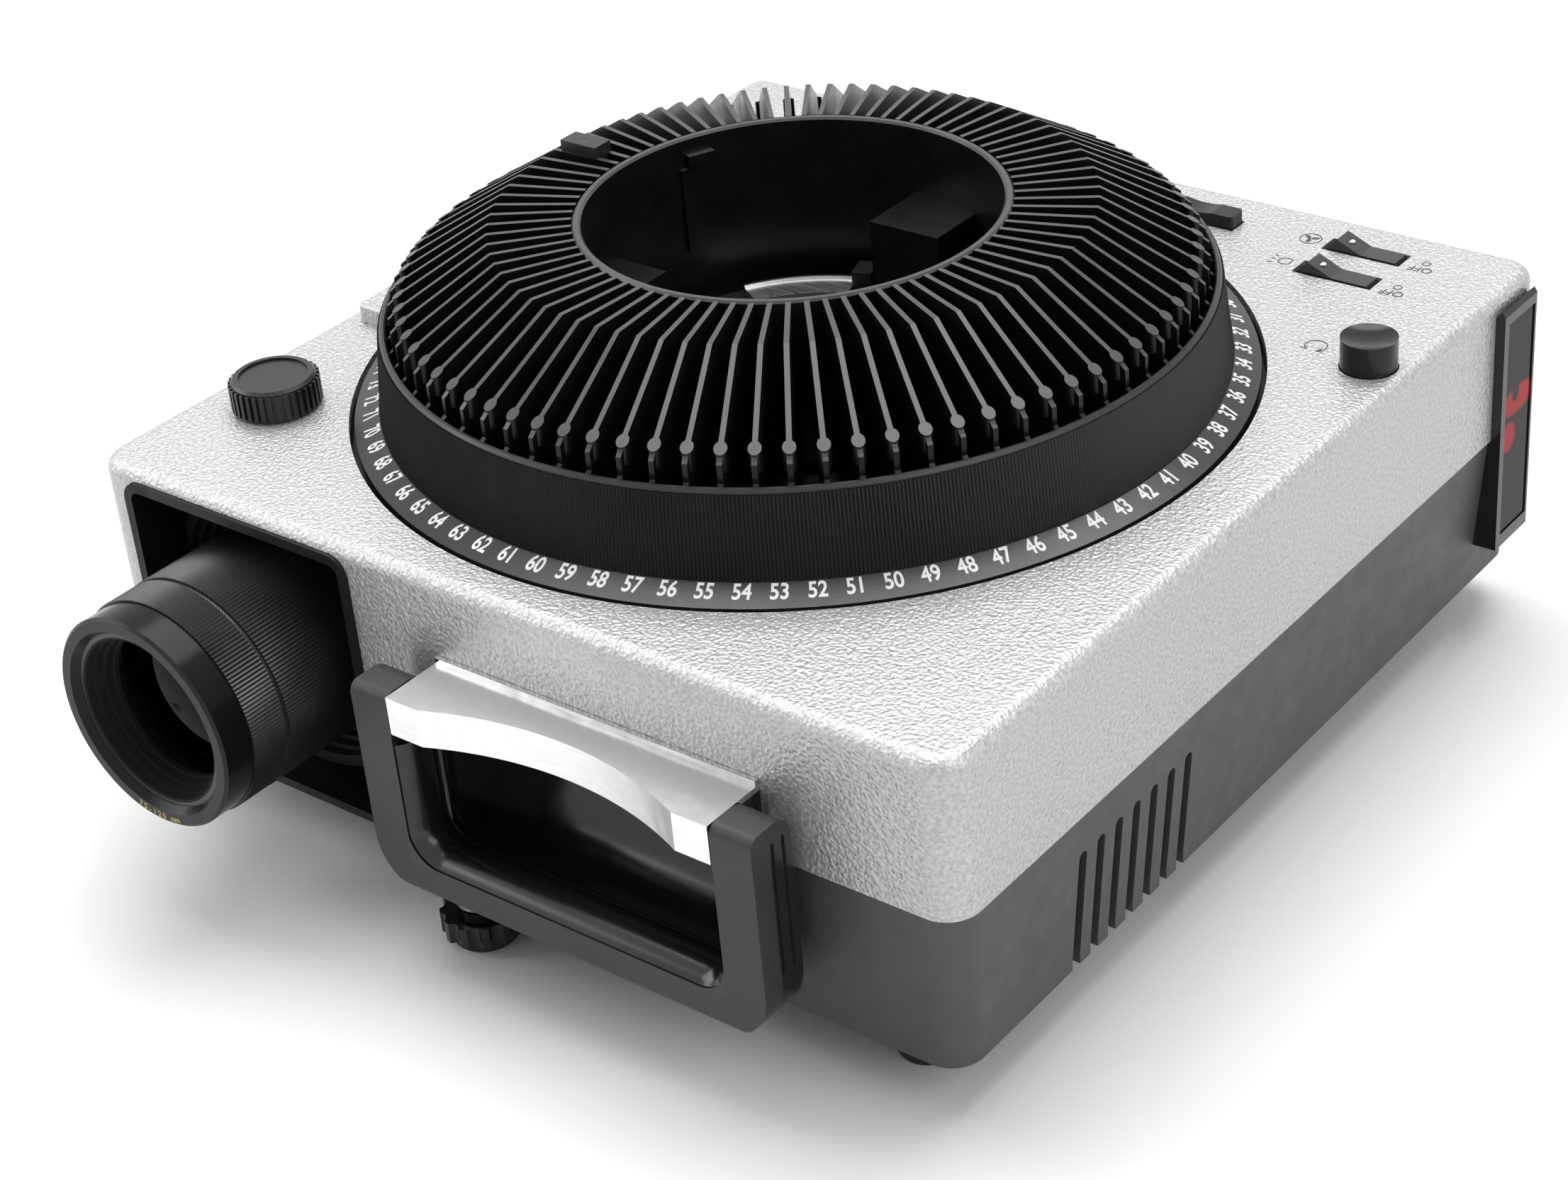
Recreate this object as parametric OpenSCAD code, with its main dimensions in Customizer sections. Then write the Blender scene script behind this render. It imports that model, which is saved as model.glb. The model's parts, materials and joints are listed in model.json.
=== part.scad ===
// Slide projector with a rotary tray that holds eighty slides and one blank place.
// Millimetres, +Z up, front (lens side) towards -Y. The model is laid out about the tray's axis,
// and place() moves it so that the origin is under the middle of the whole object, on the table.

/* [Body] */
// From the tray's well to the left side
left_margin = 13.5; // [12:0.5:20]
// From the tray's well to the right side
right_margin = 18.5; // [17:0.5:25]
// From the tray's well to the front face
front_margin = 11; // [10:0.5:16]
// From the tray's well to the rear face
rear_margin = 29.5; // [28:0.5:40]
// Height of the silver top cover
cover_h = 44.5; // [42:0.5:50]
// Height of the black lower housing
housing_h = 49.5; // [48:0.5:56]
// How far the lower housing's front and sides lean in towards the base
housing_draft = 4.5; // [2:0.5:6]
// Step of the lower housing behind the cover at the seam
seam_step = 0.8; // [0.4:0.1:1.2]
// Thickness of the casing walls
wall = 2.5; // [2:0.1:3]
// Radius of the cover's top edges
edge_r = 4; // [3:0.5:5]
// Radius of the casing's upright corners
corner_r = 9; // [7:0.5:12]
// Thickness of the base plate
base_t = 2.5; // [2:0.1:3.5]
// Height of the base above the table
foot_h = 15; // [14:0.5:18]

/* [Tray] */
// Number of places in the tray
places = 81; // [81:1:81]
// Radial room for a slide between the hub and the tray's wall
slide_room = 52.7; // [52:0.1:54]
// Width of the numbered flange
flange_w = 8.15; // [7:0.05:9]
// Thickness of the flange's edge
flange_t = 2.5; // [2:0.1:3]
// Rise of the flange from its edge to the wall
flange_rise = 3.2; // [2.5:0.1:4]
// Thickness of the tray's wall at its foot
foot_t = 4; // [3:0.1:5]
// Thickness of the tray's wall at its rim
rim_t = 1.8; // [1.4:0.1:2.4]
// Height of the rim above the cover
rim_h = 27; // [24:0.5:30]
// Outer radius of the tray's hub
hub_r = 59.15; // [58:0.05:61]
// Thickness of the hub's wall
hub_t = 2.45; // [2:0.05:2.8]
// Height of the hub above the cover
hub_h = 49.8; // [48:0.2:52]
// Distance from the hub at which a divider's top starts to fall
knee_out = 22.55; // [17:0.05:27]
// Height of a divider's top at its outer end
tip_h = 32.6; // [31:0.2:34]
// Thickness of a divider
divider_t = 1.4; // [1:0.1:1.6]
// Radius of the bead on a divider
bead_r = 1.7; // [1.4:0.1:2]
// Distance of the bead from the tray's wall
bead_in = 4.65; // [4:0.05:7]
// Depth of the well that the tray sits in
well_depth = 7; // [6.5:0.1:8]
// Radial gap round the flange
well_gap = 1.5; // [1:0.1:2.5]
// Teeth of the index pinion
pinion_teeth = 18; // [14:1:22]

/* [Lens] */
// Depth of the lens axis below the cover's top
axis_drop = 44.7; // [44:0.1:46]
// How far the lens stands out of the front face
lens_out = 41; // [36:1:46]
// Outer radius of the ribbed grip
grip_r = 31.7; // [31:0.1:32]
// Outer radius of the zoom ring
zoom_r = 31.5; // [31:0.1:31.9]
// Outer radius of the gloss front ring
front_ring_r = 30.8; // [30:0.1:31.2]
// Length of the gloss front ring
front_ring_l = 9.6; // [8:0.2:11]
// Length of the zoom ring
zoom_l = 11.4; // [10:0.2:13]
// Length of the ribbed grip behind the groove
grip_l = 37; // [34:1:39]
// Radius of the barrel in its sleeve
barrel_r = 28; // [27:0.2:28.4]
// Inner radius of the barrel
barrel_bore_r = 24.4; // [23:0.2:25]
// Width of the lens recess
recess_w = 83.5; // [80:0.5:84]
// Width of the recess's rim
rim_w = 2.8; // [2:0.1:3.5]
// Depth of the lens recess
recess_d = 30; // [28:1:31]

/* [Controls] */
// Radius of the focus knob
knob_r = 12.6; // [11:0.1:14]
// Height of the focus knob
knob_h = 9; // [8:0.2:11]
// Radius of the knob's shaft
shaft_r = 3; // [2.5:0.1:3.5]
// Radius of the select button
select_r = 7.8; // [7:0.1:8.5]
// Height of the select button above the cover
select_h = 8.9; // [7:0.1:10]
// Travel of the select button
select_travel = 4; // [3:0.1:5]
// Length of the forward and reverse buttons
button_l = 26; // [24:0.5:27]
// Width of the forward and reverse buttons
button_w = 7; // [6:0.1:8]
// Height of the forward and reverse buttons above the cover
button_h = 4; // [3:0.1:5]
// Travel of the forward and reverse buttons
button_travel = 2.5; // [2:0.1:2.8]
// Length of a rocker
rocker_l = 23.6; // [22:0.1:24.5]
// Width of a rocker
rocker_w = 6.8; // [6:0.1:7.2]

/* [Handle] */
// Drop of the arms' rounded tops below the cover's top
arm_drop = 23.8; // [22.6:0.1:25]
// Drop of the handle's hinge below the cover's top
hinge_drop = 27.8; // [27:0.1:29]
// Thickness of the grip from front to back
grip_t = 14.6; // [13:0.1:15.5]
// Gap between the grip and the front face
grip_gap = 5; // [4.4:0.1:6]
// Left end of the grip from the tray's axis
grip_x0 = -27; // [-29:0.5:-26]
// Right end of the grip from the tray's axis
grip_x1 = 101; // [98:0.5:104]
// Width of each arm
arm_w = 12.3; // [11:0.1:13]
// Height of the grip from its lower edge to the arms' tops
grip_h = 61; // [58:0.5:63]
// Height of the grip's lower bar
bar_h = 10.5; // [9.5:0.5:12]
// Radius of the grip's outer corners
outer_r = 15; // [12:0.5:18]
// Radius of the grip's inner corners
inner_r = 9; // [8:0.5:12]
// Height of the rounded bulge along the grip's inner side
bulge = 3.2; // [2:0.1:3.6]
// Height of the aluminium strip's front band
strip_h = 11; // [9:0.2:12]
// Radius of the handle's hinge pins
hinge_pin_r = 2; // [1.5:0.1:2]

/* [Hidden] */
$fn = 96;

eps = 0.02;
run_gap = 0.05;
seat_gap = 0.1;
free_gap = 0.3;

base_z = foot_h;
seam_z = base_z + housing_h;
top_z = seam_z + cover_h;
axis_z = top_z - axis_drop;
floor_z = base_z + base_t;
side_trim_t = 3;

hub_bore_r = hub_r - hub_t;
bowl_r = hub_r + slide_room;
rim_r = bowl_r + rim_t;
tray_wall_r = bowl_r + foot_t;
flange_r = tray_wall_r + flange_w;
knee_r = hub_r + knee_out;
bead_at = bowl_r - bead_in;
well_r = flange_r + well_gap;
axis_left = hub_r + slide_room / 2;
body_left = well_r + left_margin;
body_right = well_r + right_margin;
body_front = well_r + front_margin;
body_rear = well_r + rear_margin;
trim_y0 = body_rear - 28;
trim_y1 = body_rear - 8.5;
well_z = top_z - well_depth;
well_t = 2.5;
well_under = well_z - well_t;
pitch = 360 / places;

lens_front = -body_front - lens_out;
zoom_y = lens_front + front_ring_l;
grip_y = zoom_y + zoom_l + 1.2;
barrel_y = grip_y + grip_l;
barrel_end = -62;
sleeve_y0 = -106;
sleeve_y1 = -67;
sleeve_t = 3;

grip_face = -body_front - grip_gap - grip_t;
hinge_y = grip_face + grip_t / 2;
inner_x0 = grip_x0 + arm_w;
inner_x1 = grip_x1 - arm_w;

// ---- Shared shapes ----

// Moves the whole layout so that the origin is on the table under the middle of the object.
module place() {
    translate([-(body_right + side_trim_t - body_left) / 2, (body_front + lens_out - body_rear) / 2, 0])
        children();
}

module box(x0, x1, y0, y1, z0, z1) {
    translate([x0, y0, z0]) cube([x1 - x0, y1 - y0, z1 - z0]);
}

// A rounded rectangle from corner (x0, y0) to (x1, y1), with true arcs.
module rounded(x0, y0, x1, y1, r) {
    translate([x0 + r, y0]) square([x1 - x0 - 2 * r, y1 - y0]);
    translate([x0, y0 + r]) square([x1 - x0, y1 - y0 - 2 * r]);
    for (x = [x0 + r, x1 - r], y = [y0 + r, y1 - r])
        translate([x, y]) circle(r);
}

module tube(r_out, r_in, h) {
    difference() {
        cylinder(r = r_out, h = h);
        translate([0, 0, -1]) cylinder(r = r_in, h = h + 2);
    }
}

// A profile drawn as (y, z) and extruded along X from x0 to x1.
module along_x(x0, x1) {
    translate([x0, 0, 0]) rotate([90, 0, 90]) linear_extrude(x1 - x0) children();
}

// A profile drawn as (x, z) and extruded along Y from y0 to y1.
module along_y(y0, y1) {
    translate([0, y1, 0]) rotate([90, 0, 0]) linear_extrude(y1 - y0) children();
}

// A solid of revolution about the lens axis: its profile is (radius, distance behind y).
module turned(y) {
    translate([-axis_left, y, axis_z]) rotate([-90, 0, 0]) rotate_extrude() children();
}

// A cylinder along the lens axis from y0 to y1.
module along_axis(r, y0, y1) {
    translate([-axis_left, y0, axis_z]) rotate([-90, 0, 0]) cylinder(r = r, h = y1 - y0);
}

// The space behind the front face, grown by c, as a cutter for pieces that seat on the front.
module behind_front(c, x0, x1) {
    along_x(x0, x1) polygon([
        [-body_front - c, top_z + 1], [-body_front - c, seam_z],
        [-body_front - c + seam_step, seam_z], [-body_front - c + seam_step + housing_draft, base_z - 1],
        [0, base_z - 1], [0, top_z + 1]
    ]);
}

// ---- Casing ----

// A block with round upright corners and round top edges.
module soft_block(x0, x1, y0, y1, z0, z1, rc, re) {
    hull() for (x = [x0 + rc, x1 - rc], y = [y0 + rc, y1 - rc]) {
        translate([x, y, z0]) cylinder(r = rc, h = 1, $fn = 48);
        translate([x, y, z1 - re]) rotate_extrude($fn = 48)
            translate([rc - re, 0]) intersection() {
                circle(re, $fn = 32);
                square(re);
            }
    }
}

// A block whose front and sides lean in towards its foot; the rear stays upright.
module drafted_block(x0, x1, y0, y1, z0, z1, rc, draft) {
    hull() for (sx = [0, 1], sy = [0, 1]) {
        x = sx == 0 ? x0 + rc : x1 - rc;
        y = sy == 0 ? y0 + rc : y1 - rc;
        dx = sx == 0 ? draft : -draft;
        dy = sy == 0 ? draft : 0;
        translate([x, y, z1 - 0.5]) cylinder(r = rc, h = 0.5, $fn = 48);
        translate([x + dx, y + dy, z0]) cylinder(r = rc, h = 0.5, $fn = 48);
    }
}

recess_x0 = -axis_left - recess_w / 2;
recess_x1 = -axis_left + recess_w / 2;
recess_top = top_z - 3.3;
recess_foot = base_z + 1.5;

module recess_outline(c) {
    rounded(recess_x0 - c, recess_foot - c, recess_x1 + c, recess_top + c, 6 + c);
}

knob_x = -body_left + 23.4;
knob_y = -body_front + 47.2;
select_x = body_right - 12;
select_y = body_rear - 79;
forward_x = 44;
reverse_x = 10;
button_y = body_rear - 20.5;
rocker_x = body_right - 46;
power_y = body_rear - 18.2;
lamp_y = body_rear - 35.1;
cover_x0 = -body_left + 6.5;
cover_x1 = -axis_left + 23.5;
cover_y0 = -41;
screw_at = [
    [recess_x1 + 5.75, -body_front + 9.7], [body_right - 16, -body_front + 14.5],
    [-body_left + 11, body_rear - 9], [body_right - 16, body_rear - 17]
];

module top_cover() {
    color("silver") difference() {
        soft_block(-body_left, body_right, -body_front, body_rear, seam_z, top_z, corner_r, edge_r);
        soft_block(-body_left + wall, body_right - wall, -body_front + wall, body_rear - wall,
                   seam_z - 1, top_z - wall, corner_r - wall, edge_r - wall);
        translate([0, 0, seam_z]) cylinder(r = well_r, h = cover_h + 1);
        along_y(-body_front - 1, -body_front + wall + 1) recess_outline(seat_gap);
        scoop(1.8 + seat_gap);
        for (y = [power_y, lamp_y])
            box(rocker_x - rocker_l / 2 - 0.7, rocker_x + rocker_l / 2 + 0.7,
                y - rocker_w / 2 - 0.6, y + rocker_w / 2 + 0.6, top_z - wall - 1, top_z + 1);
        for (x = [forward_x, reverse_x])
            box(x - button_l / 2 - free_gap, x + button_l / 2 + free_gap,
                button_y - button_w / 2 - free_gap, button_y + button_w / 2 + free_gap,
                top_z - wall - 1, top_z + 1);
        translate([select_x, select_y, top_z - wall - 1]) cylinder(r = select_r + free_gap, h = wall + 2);
        translate([knob_x, knob_y, top_z - wall - 1]) cylinder(r = shaft_r + run_gap, h = wall + 2);
        difference() {
            box(cover_x0 + 3, cover_x1 - 3, body_rear - 59, body_rear - 14, top_z - wall - 1, top_z + 1);
            translate([0, 0, top_z - wall - 2]) cylinder(r = well_r + 6, h = wall + 4);
        }
    }
    color("silver") for (p = screw_at)
        translate([p[0], p[1], seam_z + 1]) difference() {
            cylinder(r = 4, h = cover_h - wall - 1 + eps);
            translate([0, 0, -1]) cylinder(r = 1.6, h = 16);
        }
}

// The raised silver cover over the lamp house, cut away round the tray's well.
module lamp_house_cover() {
    color("silver") difference() {
        along_z_rounded(cover_x0, cover_y0, cover_x1, body_rear - 7, 3, top_z + seat_gap / 2, top_z + 5);
        translate([0, 0, top_z - 1]) cylinder(r = well_r + 2, h = 8);
    }
}

module along_z_rounded(x0, y0, x1, y1, r, z0, z1) {
    translate([0, 0, z0]) linear_extrude(z1 - z0) rounded(x0, y0, x1, y1, r);
}

slot_n = 7;
slot_pitch = 8.1;
slot_w = 3.4;
slot_y0 = -82;
slot_top = seam_z - 14.4;
out_slot_n = 9;

module lower_housing() {
    s = seam_step;
    color("dimgray") difference() {
        drafted_block(-body_left + s, body_right - s, -body_front + s, body_rear - s,
                      floor_z, seam_z, corner_r, housing_draft);
        drafted_block(-body_left + s + wall, body_right - s - wall, -body_front + s + wall,
                      body_rear - s - wall, floor_z - 1, seam_z + 1, corner_r - wall, housing_draft);
        along_y(-body_front - 1, -body_front + 12) recess_outline(seat_gap);
        scoop(1.8 + seat_gap);
        // Air slots with round tops, open at the foot
        for (i = [0 : slot_n - 1]) {
            y = slot_y0 + i * slot_pitch;
            box(body_right - 14, body_right + 1, y - slot_w / 2, y + slot_w / 2, base_z - 1, slot_top);
            translate([body_right - 14, y, slot_top]) rotate([0, 90, 0])
                cylinder(r = slot_w / 2, h = 15, $fn = 32);
        }
        // Warm air leaves through slots behind the lamp
        for (i = [0 : out_slot_n - 1]) {
            x = -body_left + 21 + i * slot_pitch;
            box(x - slot_w / 2, x + slot_w / 2, body_rear - 6, body_rear + 1, floor_z + 8, seam_z - 8);
        }
        box(panel_x0, panel_x1, body_rear - 8, body_rear + 1, panel_z0, panel_z1);
    }
}

module base_plate() {
    s = seam_step + housing_draft;
    color("dimgray") difference() {
        union() {
            along_z_rounded(-body_left + s, -body_front + s, body_right - s, body_rear - seam_step,
                            corner_r, base_z, floor_z);
            for (p = foot_at)
                translate([p[0], p[1], base_z - boss_h]) cylinder(r = 10, h = boss_h + eps);
            box(level_x - 8, level_x + 8, level_y - 4, -body_front + s + 4, base_z, floor_z);
            // Pillars that carry the optical bench
            for (x = bench_pillar_x, y = bench_pillar_y)
                translate([x, y, floor_z - eps]) cylinder(r = 4, h = bench_z - bench_t - floor_z + eps);
        }
        for (i = [0 : slot_n - 1]) {
            y = slot_y0 + i * slot_pitch;
            box(body_right - 13, body_right + 1, y - slot_w / 2, y + slot_w / 2, base_z - 1, floor_z + 1);
        }
        for (p = screw_at)
            translate([p[0], p[1], base_z - 1]) cylinder(r = 1.8, h = base_t + 2);
        along_y(-body_front - 1, tunnel_y1 + seat_gap) recess_outline(seat_gap);
        translate([level_x, level_y, base_z - 1]) cylinder(r = bush_r, h = base_t + 2);
    }
}

boss_h = 7;
foot_at = [
    [body_right - 30, -body_front + 24.5], [-body_left + 33, body_rear - 27],
    [body_right - 30, body_rear - 27]
];

module rubber_feet() {
    color("black") for (p = foot_at)
        translate([p[0], p[1], 0]) rotate_extrude()
            polygon([[0, 0], [7.4, 0], [8, 1], [8, foot_h - boss_h], [0, foot_h - boss_h]]);
}

module cover_screws() {
    color("gray") for (p = screw_at)
        translate([p[0], p[1], base_z - 1.6]) difference() {
            union() {
                cylinder(r = 3.2, h = 1.6);
                cylinder(r = 1.5, h = seam_z - base_z + 12);
            }
            translate([0, 0, -1]) box(-2.4, 2.4, -0.4, 0.4, 0, 2);
        }
}

module side_trim() {
    color("black") difference() {
        along_y(trim_y0, trim_y1) polygon([
            [body_right + seat_gap, seam_z], [body_right + seat_gap, top_z - 5.5],
            [body_right + side_trim_t - 1, top_z - 3.5], [body_right + side_trim_t, top_z - 5],
            [body_right + side_trim_t, trim_z0], [body_right + seat_gap - trim_in - seam_step, trim_z0],
            [body_right + seat_gap - seam_step, seam_z]
        ]);
        box(body_right + side_trim_t - 1.2, body_right + 5, trim_y0 + 2.6, trim_y1 - 1,
            trim_z0 + 4, top_z - 8);
    }
}

trim_z0 = top_z - 80;
trim_in = housing_draft * (seam_z - trim_z0) / (seam_z - floor_z);

module side_window() {
    color("maroon")
        box(body_right + side_trim_t - 1.2, body_right + side_trim_t - 0.4, trim_y0 + 2.7, trim_y1 - 1.1,
            trim_z0 + 4.1, top_z - 8.1);
}

panel_x0 = -30;
panel_x1 = 100;
panel_z0 = floor_z + 6;
panel_z1 = seam_z - 6;
panel_y = body_rear - seam_step - wall - 2;
inlet_x = 76;
socket_x = -6;
panel_mid = (panel_z0 + panel_z1) / 2;

module rear_panel() {
    color("black") difference() {
        union() {
            box(panel_x0 - 3, panel_x1 + 3, panel_y, panel_y + 2 - seat_gap, panel_z0 - 3, panel_z1 + 3);
            box(panel_x0 + seat_gap, panel_x1 - seat_gap, panel_y + 1, panel_y + 3,
                panel_z0 + seat_gap, panel_z1 - seat_gap);
        }
        box(inlet_x - 14, inlet_x + 14, panel_y - 1, panel_y + 4, panel_mid - 10, panel_mid + 10);
        translate([socket_x, panel_y - 1, panel_mid]) rotate([-90, 0, 0]) cylinder(r = 9, h = 6);
    }
}

module power_inlet() {
    color("black") difference() {
        union() {
            box(inlet_x - 13.9, inlet_x + 13.9, panel_y - 16, panel_y + 3, panel_mid - 9.9, panel_mid + 9.9);
            box(inlet_x - 17, inlet_x + 17, panel_y + 3.1, panel_y + 4.6,
                panel_mid - 12.5, panel_mid + 12.5);
            box(inlet_x - 13, inlet_x + 13, panel_y + 2, panel_y + 4, panel_mid - 9, panel_mid + 9);
        }
        box(inlet_x - 12, inlet_x + 12, panel_y - 12, panel_y + 6, panel_mid - 8, panel_mid + 8);
    }
    color("silver") for (dx = [-7, 0, 7])
        box(inlet_x + dx - 1, inlet_x + dx + 1, panel_y - 14, panel_y + 1, panel_mid - 2.5, panel_mid + 2.5);
}

module remote_socket() {
    color("black") translate([socket_x, panel_y - 10, panel_mid]) rotate([-90, 0, 0]) difference() {
        union() {
            cylinder(r = 8.9, h = 13);
            translate([0, 0, 13.1]) cylinder(r = 11, h = 1.5);
            translate([0, 0, 12]) cylinder(r = 8.5, h = 2);
        }
        translate([0, 0, 5]) cylinder(r = 7.2, h = 12);
        for (a = [0, 60, 120, 180, 240])
            rotate(a) translate([4.2, 0, 1]) cylinder(r = 0.9, h = 6, $fn = 24);
    }
}

// ---- Lens recess ----

tunnel_y1 = -body_front + recess_d;
tunnel_y0 = tunnel_y1 - 2;
step_y = -body_front + 16;
low_top = well_under - 0.4;

module low_outline(c) {
    rounded(recess_x0 - c, recess_foot - c, recess_x1 + c, low_top + c, 6 + c);
}

module lens_tunnel() {
    color("black") intersection() {
        difference() {
            union() {
                along_y(-body_front - 2, step_y) recess_outline(0);
                along_y(step_y - 1, tunnel_y1) low_outline(0);
            }
            along_y(-body_front - 3, step_y - 2) recess_outline(-rim_w);
            difference() {
                along_y(-body_front - 3, tunnel_y0) rounded(
                    recess_x0 + rim_w, recess_foot + rim_w, recess_x1 - rim_w, low_top - 1.4, 3);
                // Stepped rings round the lens, deeper towards the middle
                for (i = [0 : 4])
                    translate([-axis_left, tunnel_y0 - 3 - i * 2.6, axis_z]) rotate([-90, 0, 0])
                        tube(grip_r + 12, grip_r + 2.6 + i * 1.5, 4 + i * 2.6);
            }
            along_axis(grip_r + 2.4, tunnel_y0 - 1, tunnel_y1 + 1);
        }
        behind_front(1, recess_x0 - 1, recess_x1 + 1);
    }
}

// ---- Handle ----

hinge_z = top_z - hinge_drop;
arm_top = top_z - arm_drop;
grip_foot = arm_top - grip_h;
pocket_x0 = inner_x0 + free_gap;
pocket_x1 = inner_x1 - free_gap;
strip_top = top_z - 24;
strip_t = 1.6;
strip_foot = strip_top - strip_h;
band_x0 = pocket_x0 + 10.8;
band_x1 = pocket_x1 - 10.8;
band_sag = 8.3;
band_half = (band_x1 - band_x0) / 2;
band_r = (band_half * band_half + band_sag * band_sag) / (2 * band_sag);
mid_x = (inner_x0 + inner_x1) / 2;

module u_outline() {
    difference() {
        union() {
            translate([grip_x0 + outer_r, grip_foot]) square([grip_x1 - grip_x0 - 2 * outer_r, 20]);
            translate([grip_x0, grip_foot + outer_r]) square([grip_x1 - grip_x0, grip_h - outer_r]);
            for (x = [grip_x0 + outer_r, grip_x1 - outer_r])
                translate([x, grip_foot + outer_r]) circle(outer_r);
        }
        translate([inner_x0 + inner_r, grip_foot + bar_h]) square([inner_x1 - inner_x0 - 2 * inner_r, 20]);
        translate([inner_x0, grip_foot + bar_h + inner_r]) square([inner_x1 - inner_x0, grip_h]);
        for (x = [inner_x0 + inner_r, inner_x1 - inner_r])
            translate([x, grip_foot + bar_h + inner_r]) circle(inner_r);
    }
}

module handle_grip() {
    mid_y = grip_face + grip_t / 2;
    half = grip_t / 2 - 0.35;
    chord = grip_t / 2 - 0.7;
    bulge_r = (chord * chord + bulge * bulge) / (2 * bulge);
    nose = 3;
    heel = 6;
    bulge_top = hinge_z - 11.2;
    foot_in = grip_foot + bar_h;
    color("dimgray") difference() {
        union() {
            intersection() {
                along_y(grip_face, grip_face + grip_t) u_outline();
                along_x(grip_x0 - 1, grip_x1 + 1) {
                    translate([grip_face + nose, arm_top - nose]) circle(nose);
                    translate([grip_face + grip_t - heel, arm_top - heel]) circle(heel);
                    translate([grip_face + nose, arm_top - heel]) square([grip_t - heel - nose, heel]);
                    translate([grip_face, arm_top - heel - 1]) square([grip_t, 1]);
                    translate([grip_face, arm_top - heel]) square([nose, heel - nose]);
                    rounded(grip_face, grip_foot, grip_face + grip_t, arm_top - heel - 0.5, 3.5);
                    translate([grip_face, grip_foot + 10]) square([grip_t, grip_h - heel - 10]);
                }
            }
            // Rounded inner side: a bulge along the bar, up both arms and round the corners
            along_x(inner_x0 + inner_r, inner_x1 - inner_r) intersection() {
                translate([mid_y, foot_in + bulge - bulge_r]) circle(bulge_r);
                translate([mid_y - half, foot_in - 1]) square([2 * half, bulge + 2]);
            }
            for (s = [0, 1])
                translate([mid_x, mid_y, 0]) mirror([s, 0, 0]) {
                    translate([inner_x0 - mid_x, 0, foot_in + inner_r])
                        linear_extrude(bulge_top - foot_in - inner_r) intersection() {
                            translate([bulge - bulge_r, 0]) circle(bulge_r);
                            translate([-1, -half]) square([bulge + 2, 2 * half]);
                        }
                    translate([inner_x0 - mid_x + inner_r, 0, foot_in + inner_r]) intersection() {
                        rotate([90, 0, 0]) rotate_extrude() intersection() {
                            translate([inner_r - bulge + bulge_r, 0]) circle(bulge_r);
                            translate([inner_r - bulge - 1, -half]) square([bulge + 2, 2 * half]);
                        }
                        translate([-inner_r - 2, -half - 1, -inner_r - 2])
                            cube([inner_r + 2, 2 * half + 2, inner_r + 2]);
                    }
                }
        }
        for (x = [inner_x0 - 8, inner_x1 - 1])
            translate([x, hinge_y, hinge_z]) rotate([0, 90, 0]) cylinder(r = hinge_pin_r + run_gap, h = 9);
        // Two shallow grooves down the outer side of each arm
        for (y = [grip_face + 7, grip_face + 11], x = [grip_x0 - 1, grip_x1 - 0.8])
            box(x, x + 1.8, y, y + 1.2, grip_foot + 18, arm_top - 5);
    }
}

module handle_pins() {
    color("silver") for (x = [inner_x0 - 7, pocket_x1 - 4])
        translate([x, hinge_y, hinge_z]) rotate([0, 90, 0])
            cylinder(r = hinge_pin_r, h = 7 + free_gap + 4);
}

scoop_top = strip_foot - 3;
scoop_r = 22;
scoop_z = strip_foot - 18;
scoop_y = -body_front - 6;
plate_face = -body_front - grip_gap + 0.9;
pocket_foot = scoop_z - scoop_r - 3;
pocket_top = strip_top - strip_t - seat_gap;
scoop_margin = 4;

// The space of the scoop, wider all round by c.
module scoop(c) {
    along_x(pocket_x0 + scoop_margin - c, pocket_x1 - scoop_margin + c) intersection() {
        translate([scoop_y, scoop_z]) circle(scoop_r + c);
        translate([scoop_y - 1, scoop_z - scoop_r - 5])
            square([scoop_r + 10, scoop_top + c - scoop_z + scoop_r + 5]);
    }
}

// A gloss scoop sunk into the front for the fingers, with a plate round it and an ear at each end.
module handle_pocket() {
    color("black") difference() {
        union() {
            along_x(pocket_x0, pocket_x1) {
                translate([plate_face + 2, pocket_foot])
                    square([-body_front + 8 - plate_face, pocket_top - pocket_foot]);
                translate([plate_face, pocket_foot + 2])
                    square([4, pocket_top - pocket_foot - 2]);
                translate([plate_face + 2, pocket_foot + 2]) circle(2);
            }
            for (x = [pocket_x0, pocket_x1 - 3])
                along_x(x, x + 3) {
                    translate([hinge_y, hinge_z]) circle(5.6);
                    translate([hinge_y, hinge_z - 5.6]) square([10, 5.6 + pocket_top - hinge_z]);
                }
        }
        difference() {
            behind_front(seat_gap, pocket_x0 - 1, pocket_x1 + 1);
            box(pocket_x0 - 2, pocket_x1 + 2, -body_front + 20, 0, 0, top_z);
        }
        box(pocket_x0 - 2, pocket_x1 + 2, hinge_y - 10, hinge_y + 20, pocket_top, top_z);
        scoop(0);
        for (x = [pocket_x0 - 1, pocket_x1 - 4])
            translate([x, hinge_y, hinge_z]) rotate([0, 90, 0]) cylinder(r = hinge_pin_r + 0.02, h = 5);
    }
    color("black") difference() {
        scoop(1.8);
        scoop(0);
        box(pocket_x0 - 5, pocket_x1 + 5, scoop_y - 30, plate_face + 2.5, 0, top_z);
    }
}

module strip_outline(c) {
    difference() {
        translate([pocket_x0, grip_face + c])
            square([pocket_x1 - pocket_x0, -body_front - seat_gap - grip_face - c]);
        translate([mid_x, grip_face + c + band_sag - band_r]) circle(band_r, $fn = 192);
    }
}

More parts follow.
